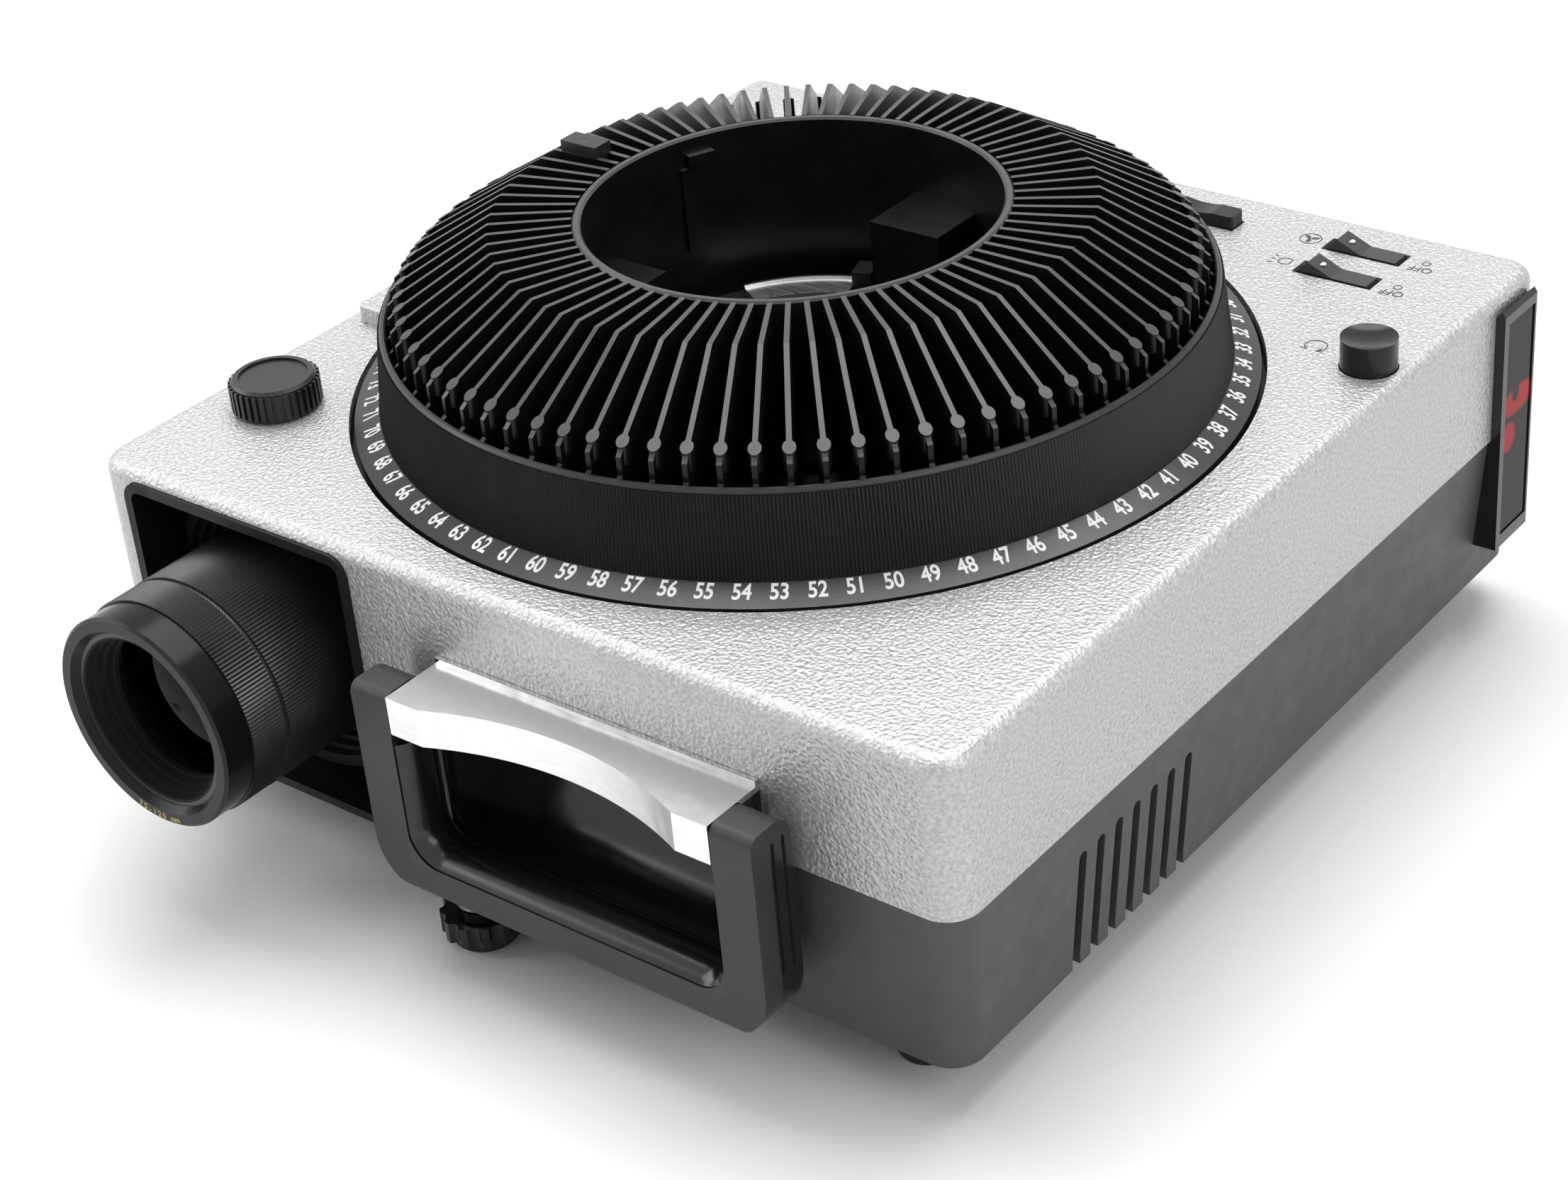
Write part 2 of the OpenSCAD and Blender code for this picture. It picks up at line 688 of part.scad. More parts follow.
module handle_strip() {
    color("silver") difference() {
        translate([0, 0, strip_foot]) linear_extrude(strip_h) strip_outline(0);
        translate([0, 0, strip_foot - 1]) linear_extrude(strip_h - strip_t + 1) strip_outline(strip_t);
        box(pocket_x0 - 1, pocket_x1 + 1, grip_face + 12, 0, strip_foot - 1, strip_top - strip_t);
    }
    color("silver")
        box(pocket_x0, pocket_x1, -body_front - seat_gap - 1.4, -body_front - seat_gap,
            strip_top + eps, strip_top + 1.6);
}

// ---- Levelling foot ----

level_x = -12;
level_y = -body_front - 0.7;
bush_r = 3.8;
screw_r = 2.4;
wheel_r = 11.5;
wheel_z0 = 3.2;
wheel_z1 = 9.4;

module foot_bush() {
    color("gray") translate([level_x, level_y, 0]) difference() {
        union() {
            translate([0, 0, base_z - 3]) cylinder(r = 7, h = 3 - eps);
            translate([0, 0, base_z - 1]) cylinder(r = bush_r - 0.02, h = 16);
        }
        translate([0, 0, base_z - 4]) cylinder(r = screw_r + run_gap, h = 24);
    }
}

module levelling_foot() {
    color("black") translate([level_x, level_y, 0]) difference() {
        union() {
            translate([0, 0, wheel_z0]) cylinder(r = wheel_r, h = wheel_z1 - wheel_z0);
            translate([0, 0, wheel_z1 - eps]) cylinder(r = 6.5, h = 1.4);
            translate([0, 0, wheel_z0]) cylinder(r = screw_r, h = 24);
        }
        for (a = [0 : 30 : 330])
            rotate(a) translate([wheel_r + 1.2, 0, wheel_z0 - 1]) cylinder(r = 2.4, h = 9, $fn = 32);
        translate([0, 0, wheel_z0 - 1]) cylinder(r = 1.6 + run_gap, h = 6);
    }
}

module foot_pad() {
    color("black") translate([level_x, level_y, 0]) rotate_extrude()
        polygon([[0, 0], [8.4, 0], [9, 0.8], [9, 2.2], [8, wheel_z0 - 0.2], [1.6, wheel_z0 - 0.2],
                 [1.6, wheel_z0 + 4.6], [0, wheel_z0 + 4.6]]);
}

// ---- Tray seat ----

slot_x0 = -axis_left - 25.6;
slot_x1 = -axis_left + 25.6;
slot_half = 2.6;
ring_z0 = well_z + 2;
ring_z1 = top_z - 1.2;
gear_r = hub_r + 0.79;
gear_module = 2 * gear_r / places;
pinion_r = gear_module * pinion_teeth / 2;
pinion_x = gear_r + pinion_r + 0.1;
plate_z0 = top_z + 0.5;
plate_z1 = top_z + 1.5;
plate_r0 = gear_r + gear_module + 1.1;

module tray_well() {
    color("dimgray") difference() {
        union() {
            translate([0, 0, well_under]) cylinder(r = well_r + 2, h = top_z - wall - seat_gap - well_under);
            // Track that carries the tray
            translate([0, 0, well_z - eps]) tube(hub_r - 0.1, hub_bore_r + 0.2, ring_z0 - free_gap - well_z);
        }
        difference() {
            translate([0, 0, well_z]) cylinder(r = well_r, h = cover_h);
            translate([0, 0, well_z - 1])
                tube(hub_r - 0.1, hub_bore_r + 0.2, ring_z0 - free_gap - well_z + 1);
        }
        box(slot_x0, slot_x1, -slot_half, slot_half, well_under - 1, top_z);
        translate([pinion_x, 0, well_under - 1]) cylinder(r = shaft_r + run_gap, h = 6);
    }
}

// The fixed plate under the slides, with one slot where a slide can drop.
module retainer_plate() {
    color("silver") difference() {
        translate([0, 0, plate_z0]) tube(bowl_r - 0.4, plate_r0, plate_z1 - plate_z0);
        box(slot_x0, slot_x1 + 5, -slot_half, slot_half, plate_z0 - 1, plate_z1 + 1);
    }
    color("silver") for (a = [30 : 60 : 330])
        rotate(a) translate([bowl_r - 11.8, 0, well_z]) cylinder(r = 3, h = plate_z0 - well_z + eps);
}

latch_r0 = hub_bore_r - 20.2;
latch_r1 = hub_bore_r - 8.7;
latch_z = top_z + 2;
latch_a0 = 109;
latch_a1 = 149;

module centre_spindle() {
    color("black") difference() {
        union() {
            translate([0, 0, well_z]) cylinder(r = hub_bore_r - 0.08, h = 6);
            translate([0, 0, well_z]) cylinder(r = latch_r1 + 2, h = latch_z - well_z);
            rotate(latch_a0) box(latch_r1 - 6, latch_r1 + 1.8, -6, -0.3, latch_z - 1, latch_z + 7);
        }
        translate([0, 0, well_z + 2]) cylinder(r = latch_r0 - 0.6, h = 20);
    }
}

// The bright part of the latch ring that shows at the bottom of the hub, with a raised lip at each edge.
module centre_ring() {
    r = 2 * latch_r1;
    am = (latch_a0 + latch_a1) / 2;
    color("silver") translate([0, 0, latch_z]) intersection() {
        rotate_extrude() polygon([
            [latch_r0, 0], [latch_r1, 0], [latch_r1, 3], [latch_r1 - 0.9, 3], [latch_r1 - 1.3, 2.2],
            [latch_r0 + 1.3, 2.2], [latch_r0 + 0.9, 3], [latch_r0, 3]
        ]);
        translate([0, 0, -1]) linear_extrude(6) polygon([
            [0, 0], [r * cos(latch_a0), r * sin(latch_a0)], [r * cos(am), r * sin(am)],
            [r * cos(latch_a1), r * sin(latch_a1)]
        ]);
    }
}

// ---- Tray ----

// A gear outline with straight-sided teeth; play is the sideways slack at the pitch circle.
module gear_outline(teeth, m, add, ded, play) {
    step = 360 / teeth;
    r = m * teeth / 2;
    half_root = step * 0.31;
    half_pitch = step * 0.25 - play / r * 90 / PI;
    half_tip = step * 0.115;
    polygon([for (i = [0 : teeth - 1], p = [
        [r - ded, -half_root], [r, -half_pitch], [r + add, -half_tip],
        [r + add, half_tip], [r, half_pitch], [r - ded, half_root]
    ]) [p[0] * cos(i * step + p[1]), p[0] * sin(i * step + p[1])]]);
}

module drive_ring() {
    color("black") translate([0, 0, ring_z0]) difference() {
        linear_extrude(ring_z1 - ring_z0)
            rotate(pitch / 2) gear_outline(places, gear_module, gear_module * 0.9, gear_module * 1.2, 0.4);
        translate([0, 0, -1]) cylinder(r = hub_bore_r, h = 6);
    }
}

module index_pinion() {
    color("ivory") translate([pinion_x, 0, 0]) {
        translate([0, 0, ring_z0]) linear_extrude(ring_z1 - ring_z0 - 0.3) rotate(180)
            gear_outline(pinion_teeth, gear_module, gear_module * 0.9, gear_module * 1.2, 0.4);
        translate([0, 0, well_under - 14]) cylinder(r = shaft_r, h = ring_z0 - well_under + 14 + eps);
    }
}

module tray_flange() {
    z0 = top_z - flange_t;
    color("black") rotate_extrude($fn = 240) polygon([
        [bowl_r, z0], [flange_r - 0.6, z0], [flange_r, z0 + 0.6], [flange_r, top_z],
        [tray_wall_r + 0.4, top_z + flange_rise], [rim_r, top_z + rim_h - 0.8], [rim_r - 0.6, top_z + rim_h],
        [bowl_r + 0.4, top_z + rim_h], [bowl_r, top_z + rim_h - 0.4]
    ]);
}

module tray_hub() {
    // Housings of the latch, on the inside of the hub's wall
    color("black") intersection() {
        union() {
            box(-1, 22, hub_bore_r - 22.7, hub_r, top_z + 12, top_z + 30);
            box(-hub_r, -hub_bore_r + 20, -22, -12, top_z + 10, top_z + 26);
            rotate(156) box(hub_bore_r - 2.4, hub_r, -4, 4, top_z + 42, top_z + 45);
            rotate(161.5) box(hub_bore_r - 1.2, hub_r, -1, 1, top_z + 16, top_z + 41);
        }
        translate([0, 0, top_z]) cylinder(r = hub_bore_r + 0.5, h = hub_h, $fn = 240);
    }
    color("black") rotate_extrude($fn = 240) polygon([
        [hub_bore_r, ring_z1], [hub_r, ring_z1], [hub_r, top_z + hub_h - 0.6], [hub_r - 0.6, top_z + hub_h],
        [hub_bore_r + 0.6, top_z + hub_h], [hub_bore_r, top_z + hub_h - 0.6]
    ]);
}

divider_z0 = plate_z1 + 0.4;
bead_z = top_z + tip_h + (hub_h - tip_h) * 0.13;
bead_tilt = atan((top_z + hub_h - bead_z) / (bead_at - knee_r));

// One blade between two slides, with its bead near the outer end.
module divider() {
    rotate([90, 0, 0]) translate([0, 0, -divider_t / 2]) linear_extrude(divider_t) polygon([
        [hub_r + 0.06, divider_z0], [bowl_r - 0.06, divider_z0], [bowl_r - 0.06, top_z + rim_h - 1],
        [bowl_r - 1.4, top_z + rim_h], [bowl_r - 1.4, top_z + tip_h - 0.6], [bowl_r - 2.2, top_z + tip_h],
        [bead_at, bead_z], [knee_r, top_z + hub_h - 0.1], [hub_r + 0.06, top_z + hub_h - 0.1]
    ]);
    difference() {
        translate([bead_at, 0, bead_z - 6]) cylinder(r = bead_r, h = 8, $fn = 24);
        translate([bead_at, 0, bead_z + 0.06]) rotate([0, bead_tilt, 0]) box(-5, 5, -3, 3, 0, 6);
    }
}

module tray_dividers() {
    color("dimgray") for (i = [0 : places - 1])
        rotate(180 - pitch * (i + 0.5)) divider();
}

tab_r0 = hub_r + 7.35;
tab_r1 = hub_r + 20.05;

// A block over the empty place, with its foot between the blades beside it.
module zero_tab() {
    top = top_z + hub_h;
    color("black") difference() {
        box(-tab_r1, -tab_r0, -3.3, 3.3, top - 4, top + 3.2);
        for (s = [-1, 1])
            rotate(s * pitch / 2)
                box(-tab_r1 - 3, -tab_r0 + 6, -divider_t / 2 - 0.06, divider_t / 2 + 0.06, top_z, top);
        for (s = [0, 1])
            mirror([0, s, 0]) rotate(pitch / 2) box(-tab_r1 - 3, -tab_r0 + 6, -6, 0, top_z, top);
    }
}

// ---- Drive under the well ----

module index_motor() {
    z1 = well_under - seat_gap;
    color("gray") translate([pinion_x, 0, 0]) difference() {
        union() {
            translate([0, 0, z1 - 22]) cylinder(r = 15, h = 22);
            translate([0, 0, z1 - 26]) cylinder(r = 5, h = 5);
            translate([-21, -7, z1 - 2]) cube([42, 14, 2]);
        }
        translate([0, 0, z1 - 18]) cylinder(r = shaft_r + 0.06, h = 20);
    }
}

// ---- Light path ----

bench_z = floor_z + 12.5;
bench_t = 2;
bench_x0 = -axis_left - 42;
bench_x1 = -axis_left + 42;
bench_y0 = 8;
bench_y1 = body_rear - 13;
bench_pillar_x = [bench_x0 + 6, bench_x1 - 6];
bench_pillar_y = [bench_y0 + 8, bench_y1 - 8];
lens1_y = 13;
lens2_y = 27;
condenser_r = 25;
heat_y = 45;
lamp_at = body_rear - 57;
house_y0 = lamp_at - 26;
house_y1 = body_rear - 15;
house_x0 = -axis_left - 38;
house_x1 = -axis_left + 38;
house_top = well_under - 4.5;

module saddle(y, r) {
    difference() {
        box(-axis_left - r - 1, -axis_left + r + 1, y, y + 4, bench_z - eps, axis_z - r * 0.45);
        along_axis(r + 0.04, y - 1, y + 5);
    }
}

module optical_bench() {
    color("silver") box(bench_x0, bench_x1, bench_y0, bench_y1, bench_z - bench_t, bench_z);
    color("silver") for (y = [lens1_y + 1, lens2_y + 1])
        saddle(y, condenser_r);
    color("silver") difference() {
        box(-axis_left - 27, -axis_left + 27, heat_y - 3, heat_y + 6, bench_z - eps, axis_z - 20);
        box(-axis_left - 25.1, -axis_left + 25.1, heat_y - 0.1, heat_y + 3.1, axis_z - 25, axis_z);
    }
    // Lamp socket
    color("ivory") difference() {
        box(-axis_left - 9, -axis_left + 9, lamp_at - 6, lamp_at + 6, bench_z - eps, axis_z - 19);
        for (x = [-3.2, 3.2])
            translate([-axis_left + x, lamp_at, axis_z - 28]) cylinder(r = 0.8, h = 10, $fn = 24);
    }
    color("silver")
        box(-axis_left - 10, -axis_left + 10, lamp_at + 21, lamp_at + 24, bench_z - eps, axis_z - 14);
}

// A plano-convex lens turned about the optical axis; the flat side faces the front.
module plano_convex(y, r, edge, bulge) {
    ball = (r * r + bulge * bulge) / (2 * bulge);
    turned(y) intersection() {
        translate([0, edge + bulge - ball]) circle(ball, $fn = 180);
        square([r, edge + bulge]);
    }
}

module condensers() {
    color("lightblue") plano_convex(lens1_y, condenser_r, 5, 7);
    color("lightblue") plano_convex(lens2_y, condenser_r, 5, 7);
}

module heat_glass() {
    color("palegreen") box(-axis_left - 25, -axis_left + 25, heat_y, heat_y + 3, axis_z - 25, axis_z + 25);
}

module lamp() {
    color("white") translate([-axis_left, lamp_at, axis_z]) {
        translate([0, 0, -14]) cylinder(r = 6.4, h = 26);
        translate([0, 0, 12 - eps]) cylinder(r1 = 6.4, r2 = 2.4, h = 6);
        translate([-5.6, -3, -19 + eps]) cube([11.2, 6, 5.2]);
        for (x = [-3.2, 3.2])
            translate([x, 0, -27]) cylinder(r = 0.75, h = 9, $fn = 24);
    }
}

module reflector() {
    color("silver") turned(lamp_at + 9) difference() {
        intersection() {
            translate([0, -14]) circle(26, $fn = 120);
            square([22, 13]);
        }
        translate([0, -14]) circle(24.6, $fn = 120);
    }
    color("silver") box(-axis_left - 6, -axis_left + 6, lamp_at + 20.6, lamp_at + 20.9 + seat_gap,
                        axis_z - 18, axis_z - 3);
}

module lamp_house() {
    color("gray") difference() {
        box(house_x0, house_x1, house_y0, house_y1 - 2, bench_z, house_top);
        box(house_x0 + 1.5, house_x1 - 1.5, house_y0 + 1.5, house_y1 - 3.5, bench_z - 1, house_top - 1.5);
        along_axis(24, house_y0 - 1, house_y0 + 3);
        // Louvres for the warm air
        for (i = [0 : 6])
            box(house_x0 + 6 + i * 9.6, house_x0 + 10.2 + i * 9.6, house_y0 + 10, house_y1 - 12,
                house_top - 3, house_top + 1);
        for (i = [0 : 3])
            box(house_x0 + 8 + i * 16, house_x0 + 20 + i * 16, house_y1 - 6, house_y1,
                bench_z + 8, house_top - 10);
    }
}

gate_z0 = axis_z - 28;
gate_x0 = -axis_left - 27.5;
gate_x1 = -axis_left + 26.5;
gate_t = 2;
rod_x = gate_x1 + 5;
finger_top = top_z + 1.2;

module gate_frame() {
    color("gray") for (s = [0, 1])
        mirror([0, s, 0]) difference() {
            union() {
                box(gate_x0, gate_x1, slot_half, slot_half + gate_t, gate_z0, well_under);
                box(gate_x0, gate_x1, slot_half, slot_half + 7, well_under - 2, well_under);
                box(gate_x1 - 1.2, gate_x1, slot_half - 0.9, slot_half + 1, gate_z0, well_under);
            }
            box(-axis_left - 19, -axis_left + 19, 0, slot_half + gate_t + 1, axis_z - 19, axis_z + 19);
        }
    color("gray") box(gate_x0, gate_x0 + 2, -slot_half - eps, slot_half + eps, gate_z0, well_under);
    color("gray") box(gate_x0, -axis_left + 14, -slot_half - eps, slot_half + eps, gate_z0, axis_z - 25.2);
    // Rod that guides the lifter
    color("silver") translate([rod_x, 0, floor_z]) cylinder(r = 2, h = well_under - floor_z);
}

// Carries a slide down into the gate and back up into the tray.
module slide_lifter() {
    z1 = well_under - 1.5;
    color("silver") difference() {
        union() {
            box(rod_x - 3.6, rod_x + 4.4, -4.4, 4.4, z1 - 8, z1);
            box(-axis_left + 18, rod_x, -1.1, 1.1, z1 - 7, z1 - 1);
            box(-axis_left + 18, -axis_left + 22, -1.1, 1.1, z1 - 7, finger_top);
        }
        translate([rod_x, 0, z1 - 9]) cylinder(r = 2 + run_gap, h = 10);
    }
}

// ---- Lens ----

sleeve_z = axis_z + 15.5;
window_h = 9;
rack_z0 = axis_z + 16.8;
rack_h = 4.4;
rack_teeth = 12;
focus_m = 1;
focus_teeth = 10;
focus_r = focus_m * focus_teeth / 2;
rack_x = knob_x + focus_r;
rib_n = 180;
rib_d = 0.45;
core_r = 27.6;

module lens_sleeve() {
    color("gray") difference() {
        union() {
            along_axis(barrel_r + sleeve_t, sleeve_y0, sleeve_y1);
            box(-axis_left - 20, -axis_left + 20, sleeve_y0 + 2, sleeve_y1 - 2, floor_z, axis_z - 10);
            // Lower bearing of the focus shaft
            box(knob_x - 6, -axis_left - 10, knob_y - 6, knob_y + 6, axis_z + 9.5, axis_z + 14.8);
        }
        along_axis(barrel_r + run_gap, sleeve_y0 - 1, sleeve_y1 + 1);
        box(knob_x - 8, -axis_left - 8, sleeve_y0 - 1, sleeve_y1 + 1, sleeve_z, sleeve_z + window_h);
        translate([knob_x, knob_y, axis_z + 8]) cylinder(r = shaft_r + run_gap, h = 10);
        box(-axis_left - 14, -axis_left + 14, sleeve_y0 + 8, sleeve_y1 - 8,
            floor_z + 4, axis_z - barrel_r - 5);
    }
}

// A round bar with fine ribs along it, from y0 to y1.
module ribbed_bar(r, y0, y1) {
    translate([-axis_left, y1, axis_z]) rotate([90, 0, 0]) linear_extrude(y1 - y0)
        polygon([for (i = [0 : 2 * rib_n - 1])
            let (a = i * 180 / rib_n, q = i % 2 == 0 ? r : r - rib_d) [q * cos(a), q * sin(a)]]);
}

module lens_barrel() {
    color("black") difference() {
        union() {
            along_axis(core_r, lens_front + 2.2, grip_y + 1);
            along_axis(front_ring_r, grip_y - 1.1, grip_y + 0.2);
            ribbed_bar(grip_r, grip_y, barrel_y - 3);
            along_axis(grip_r - rib_d - 0.15, barrel_y - 4, barrel_y);
            along_axis(barrel_r, barrel_y - 1, barrel_end);
            box(rack_x + focus_m * 1.2, -axis_left - 15, knob_y - 19, knob_y + 19,
                rack_z0, rack_z0 + rack_h);
            for (i = [0 : rack_teeth - 1]) {
                y = knob_y + (i - rack_teeth / 2 + 0.5) * PI * focus_m;
                translate([rack_x, y, rack_z0]) linear_extrude(rack_h) polygon([
                    [-focus_m * 0.8, -0.3], [-focus_m * 0.8, 0.3], [0, 0.6],
                    [focus_m * 1.2 + 0.1, 1], [focus_m * 1.2 + 0.1, -1], [0, -0.6]
                ]);
            }
        }
        along_axis(barrel_bore_r, lens_front, barrel_end + 1);
    }
}

module front_ring() {
    color("black") turned(lens_front) polygon([
        [27.1, 0], [front_ring_r - 0.8, 0], [front_ring_r, 0.8], [front_ring_r, front_ring_l - 0.1],
        [core_r + 0.02, front_ring_l - 0.1], [core_r + 0.02, 2.1], [25.6, 2.1]
    ]);
}

module zoom_ring() {
    color("black") difference() {
        ribbed_bar(zoom_r, zoom_y + 0.1, zoom_y + zoom_l);
        along_axis(core_r + run_gap, zoom_y - 1, zoom_y + zoom_l + 1);
    }
}

// A lens that bulges both ways, with a flat rim.
module biconvex(y, r, edge, bulge) {
    ball = (r * r + bulge * bulge) / (2 * bulge);
    turned(y) intersection() {
        translate([0, edge / 2 + bulge - ball]) circle(ball, $fn = 180);
        translate([0, -edge / 2 - bulge + ball]) circle(ball, $fn = 180);
        translate([0, -edge / 2 - bulge]) square([r, edge + 2 * bulge]);
    }
}

module lens_glasses() {
    color("lightblue") biconvex(lens_front + 17, barrel_bore_r - 0.02, 3, 4);
    color("lightblue") biconvex(barrel_end - 8, barrel_bore_r - 0.02, 3, 3);
    // Stepped light trap in front of the first glass
    color("black") turned(lens_front + 2.4) polygon([
        [barrel_bore_r - 0.02, 0], [barrel_bore_r - 0.02, 9], [21, 9], [21, 7.5], [22, 7.5], [22, 5],
        [23, 5], [23, 2.5], [23.8, 2.5], [23.8, 0]
    ]);
}

module zoom_cell() {
    color("gray") turned(-146) difference() {
        translate([18, 0]) square([barrel_bore_r - run_gap - 18, 20]);
        translate([20.5, 6]) square([3.9, 8]);
        translate([21.6, -1]) square([2.9, 4]);
    }
}

module focus_knob() {
    color("black") translate([knob_x, knob_y, top_z + 0.4]) difference() {
        union() {
            rotate_extrude() polygon([
                [0, 0], [knob_r - 0.8, 0], [knob_r - 0.8, knob_h - 0.8], [knob_r - 1.6, knob_h],
                [knob_r - 3, knob_h], [knob_r - 3, knob_h - 0.6], [0, knob_h - 0.6]
            ]);
            for (i = [0 : 35])
                rotate(i * 10) translate([knob_r - 1.2, -0.55, 0.4]) cube([1.2, 1.1, knob_h - 1.6]);
        }
        translate([0, 0, -1]) cylinder(r = shaft_r + 0.01, h = knob_h - 2);
    }
}

module focus_shaft() {
    color("silver") translate([knob_x, knob_y, 0]) {
        translate([0, 0, axis_z + 9.8]) cylinder(r = shaft_r, h = top_z + knob_h - 3 - axis_z - 9.8);
        translate([0, 0, axis_z + 16]) linear_extrude(6)
            gear_outline(focus_teeth, focus_m, focus_m * 0.8, focus_m * 1.1, 0.3);
        translate([0, 0, top_z - wall - 2.3]) cylinder(r = 5, h = 2);
    }
}

// ---- Fan ----

fan_x0 = body_right - 32;
fan_x1 = fan_x0 + 19;
fan_y = -58;
fan_half = 38;
fan_z = floor_z + fan_half;
fan_hole_r = 35;
fan_r = 33;
fan_hub_r = 13;
fan_motor_r = 20;
fan_blades = 7;

module along_fan(r, x0, x1) {
    translate([x0, fan_y, fan_z]) rotate([0, 90, 0]) cylinder(r = r, h = x1 - x0);
}

module fan_shroud() {
    color("black") difference() {
        box(fan_x0, fan_x1, fan_y - fan_half, fan_y + fan_half, floor_z, fan_z + fan_half);
        along_fan(fan_hole_r, fan_x0 + 2, fan_x1 + 1);
        difference() {
            along_fan(fan_hole_r, fan_x0 - 1, fan_x0 + 3);
            along_fan(fan_motor_r + 2, fan_x0 - 2, fan_x0 + 4);
            for (a = [0, 120, 240])
                translate([fan_x0 - 2, fan_y, fan_z]) rotate([a, 0, 0])
                    translate([0, -3, 0]) cube([6, 6, 40]);
        }
        along_fan(3, fan_x0 - 1, fan_x0 + 3);
        for (y = [-1, 1], z = [-1, 1])
            translate([fan_x0 - 1, fan_y + y * 33, fan_z + z * 33])
                rotate([0, 90, 0]) cylinder(r = 2, h = 30);
    }
}

module fan_motor() {
    color("gray") along_fan(fan_motor_r, fan_x0 - 22, fan_x0);
    color("silver") along_fan(2, fan_x0 - eps, fan_x0 + 15);
}

module fan_impeller() {
    x0 = fan_x0 + 3.5;
    x1 = fan_x0 + 17;
    color("black") difference() {
        union() {
            along_fan(fan_hub_r, x0, x1);
            for (i = [0 : fan_blades - 1])
                translate([(x0 + x1) / 2, fan_y, fan_z]) rotate([i * 360 / fan_blades, 0, 0])
                    translate([0, 0, fan_hub_r - 2]) rotate([0, 0, 35])
                        translate([-7, -0.8, 0]) cube([14, 1.6, fan_r - fan_hub_r + 1]);
        }
        along_fan(2 + run_gap, x0 - 1, x1 - 1.5);
    }
}

// ---- Power ----

core_x0 = 40;
core_x1 = 100;
core_y0 = body_rear - 83;
core_y1 = body_rear - 33;
core_mid = (core_x0 + core_x1) / 2;

module transformer() {
    color("gray") difference() {
        box(core_x0, core_x1, core_y0, core_y1, floor_z, floor_z + 44);
        for (x = [core_mid - 18, core_mid + 6])
            box(x, x + 12, core_y0 - 1, core_y1 + 1, floor_z + 10, floor_z + 34);
    }
    color("brown") difference() {
        box(core_mid - 17.8, core_mid + 17.8, core_y0 - 6, core_y1 + 6, floor_z + 10.2, floor_z + 33.8);
        box(core_mid - 6.2, core_mid + 6.2, core_y0 - 0.2, core_y1 + 0.2, floor_z + 10, floor_z + 34);
    }
}

module control_board() {
    color("green") box(-30, 70, -52, 28, floor_z + 6, floor_z + 7.6);
    color("gray") for (x = [-25, 65], y = [-47, 23])
        translate([x, y, floor_z]) cylinder(r = 3, h = 6 + eps);
    color("black") for (p = [[-12, -30], [14, -30], [40, -32]])
        box(p[0], p[0] + 16, p[1], p[1] + 8, floor_z + 7.6 - eps, floor_z + 11);
    color("silver") for (x = [-10, 12, 34])
        translate([x, 8, floor_z + 7.6 - eps]) cylinder(r = 6, h = 15);
}

// ---- Controls ----

under = top_z - wall;
rocker_z = top_z - 1.2;
rocker_pin_z = top_z - wall - 1.3;
flange_z = under - 1.8;
guide_foot = under - 14;
stem_r = 1.6;

module rocker(y) {
    translate([rocker_x, 0, rocker_z]) {
        along_y(y - rocker_w / 2, y + rocker_w / 2) polygon([
            [-11.7, -0.4], [-11.4, 0.8], [-7.6, 4.9], [0, 1.6], [11, 1.6],
            [11.4, 0.2], [8.6, -4.6], [-8.6, -4.6]
        ]);
        translate([0, y - rocker_w / 2 - 2, rocker_pin_z - rocker_z]) rotate([-90, 0, 0])
            cylinder(r = 1, h = rocker_w + 4);
    }
}

module power_rocker() {
    color("dimgray") rocker(power_y);
}

module lamp_rocker() {
    color("dimgray") rocker(lamp_y);
}

module push_button(x) {
    color("black") translate([x, button_y, 0]) {
        difference() {
            translate([0, 0, flange_z]) linear_extrude(top_z + button_h - flange_z)
                rounded(-button_l / 2, -button_w / 2, button_l / 2, button_w / 2, 1.2);
            translate([0, 0, top_z + button_h + 29.4]) rotate([90, 0, 0])
                cylinder(r = 30, h = 20, center = true, $fn = 180);
        }
        box(-button_l / 2 - 1.5, button_l / 2 + 1.5, -button_w / 2 - 1.5, button_w / 2 + 1.5,
            flange_z, under - free_gap);
        translate([0, 0, guide_foot - 1]) cylinder(r = stem_r, h = flange_z - guide_foot + 1 + eps);
    }
}

module forward_button() {
    push_button(forward_x);
}

module reverse_button() {
    push_button(reverse_x);
}

module select_button() {
    color("black") translate([select_x, select_y, 0]) difference() {
        union() {
            translate([0, 0, flange_z]) cylinder(r = select_r, h = top_z + select_h - flange_z);
            translate([0, 0, flange_z]) cylinder(r = select_r + 0.6, h = under - free_gap - flange_z);
            translate([0, 0, guide_foot - 2]) cylinder(r = stem_r, h = flange_z - guide_foot + 3);
        }
        translate([0, 0, top_z + select_h + 22.6]) sphere(24, $fn = 120);
    }
}

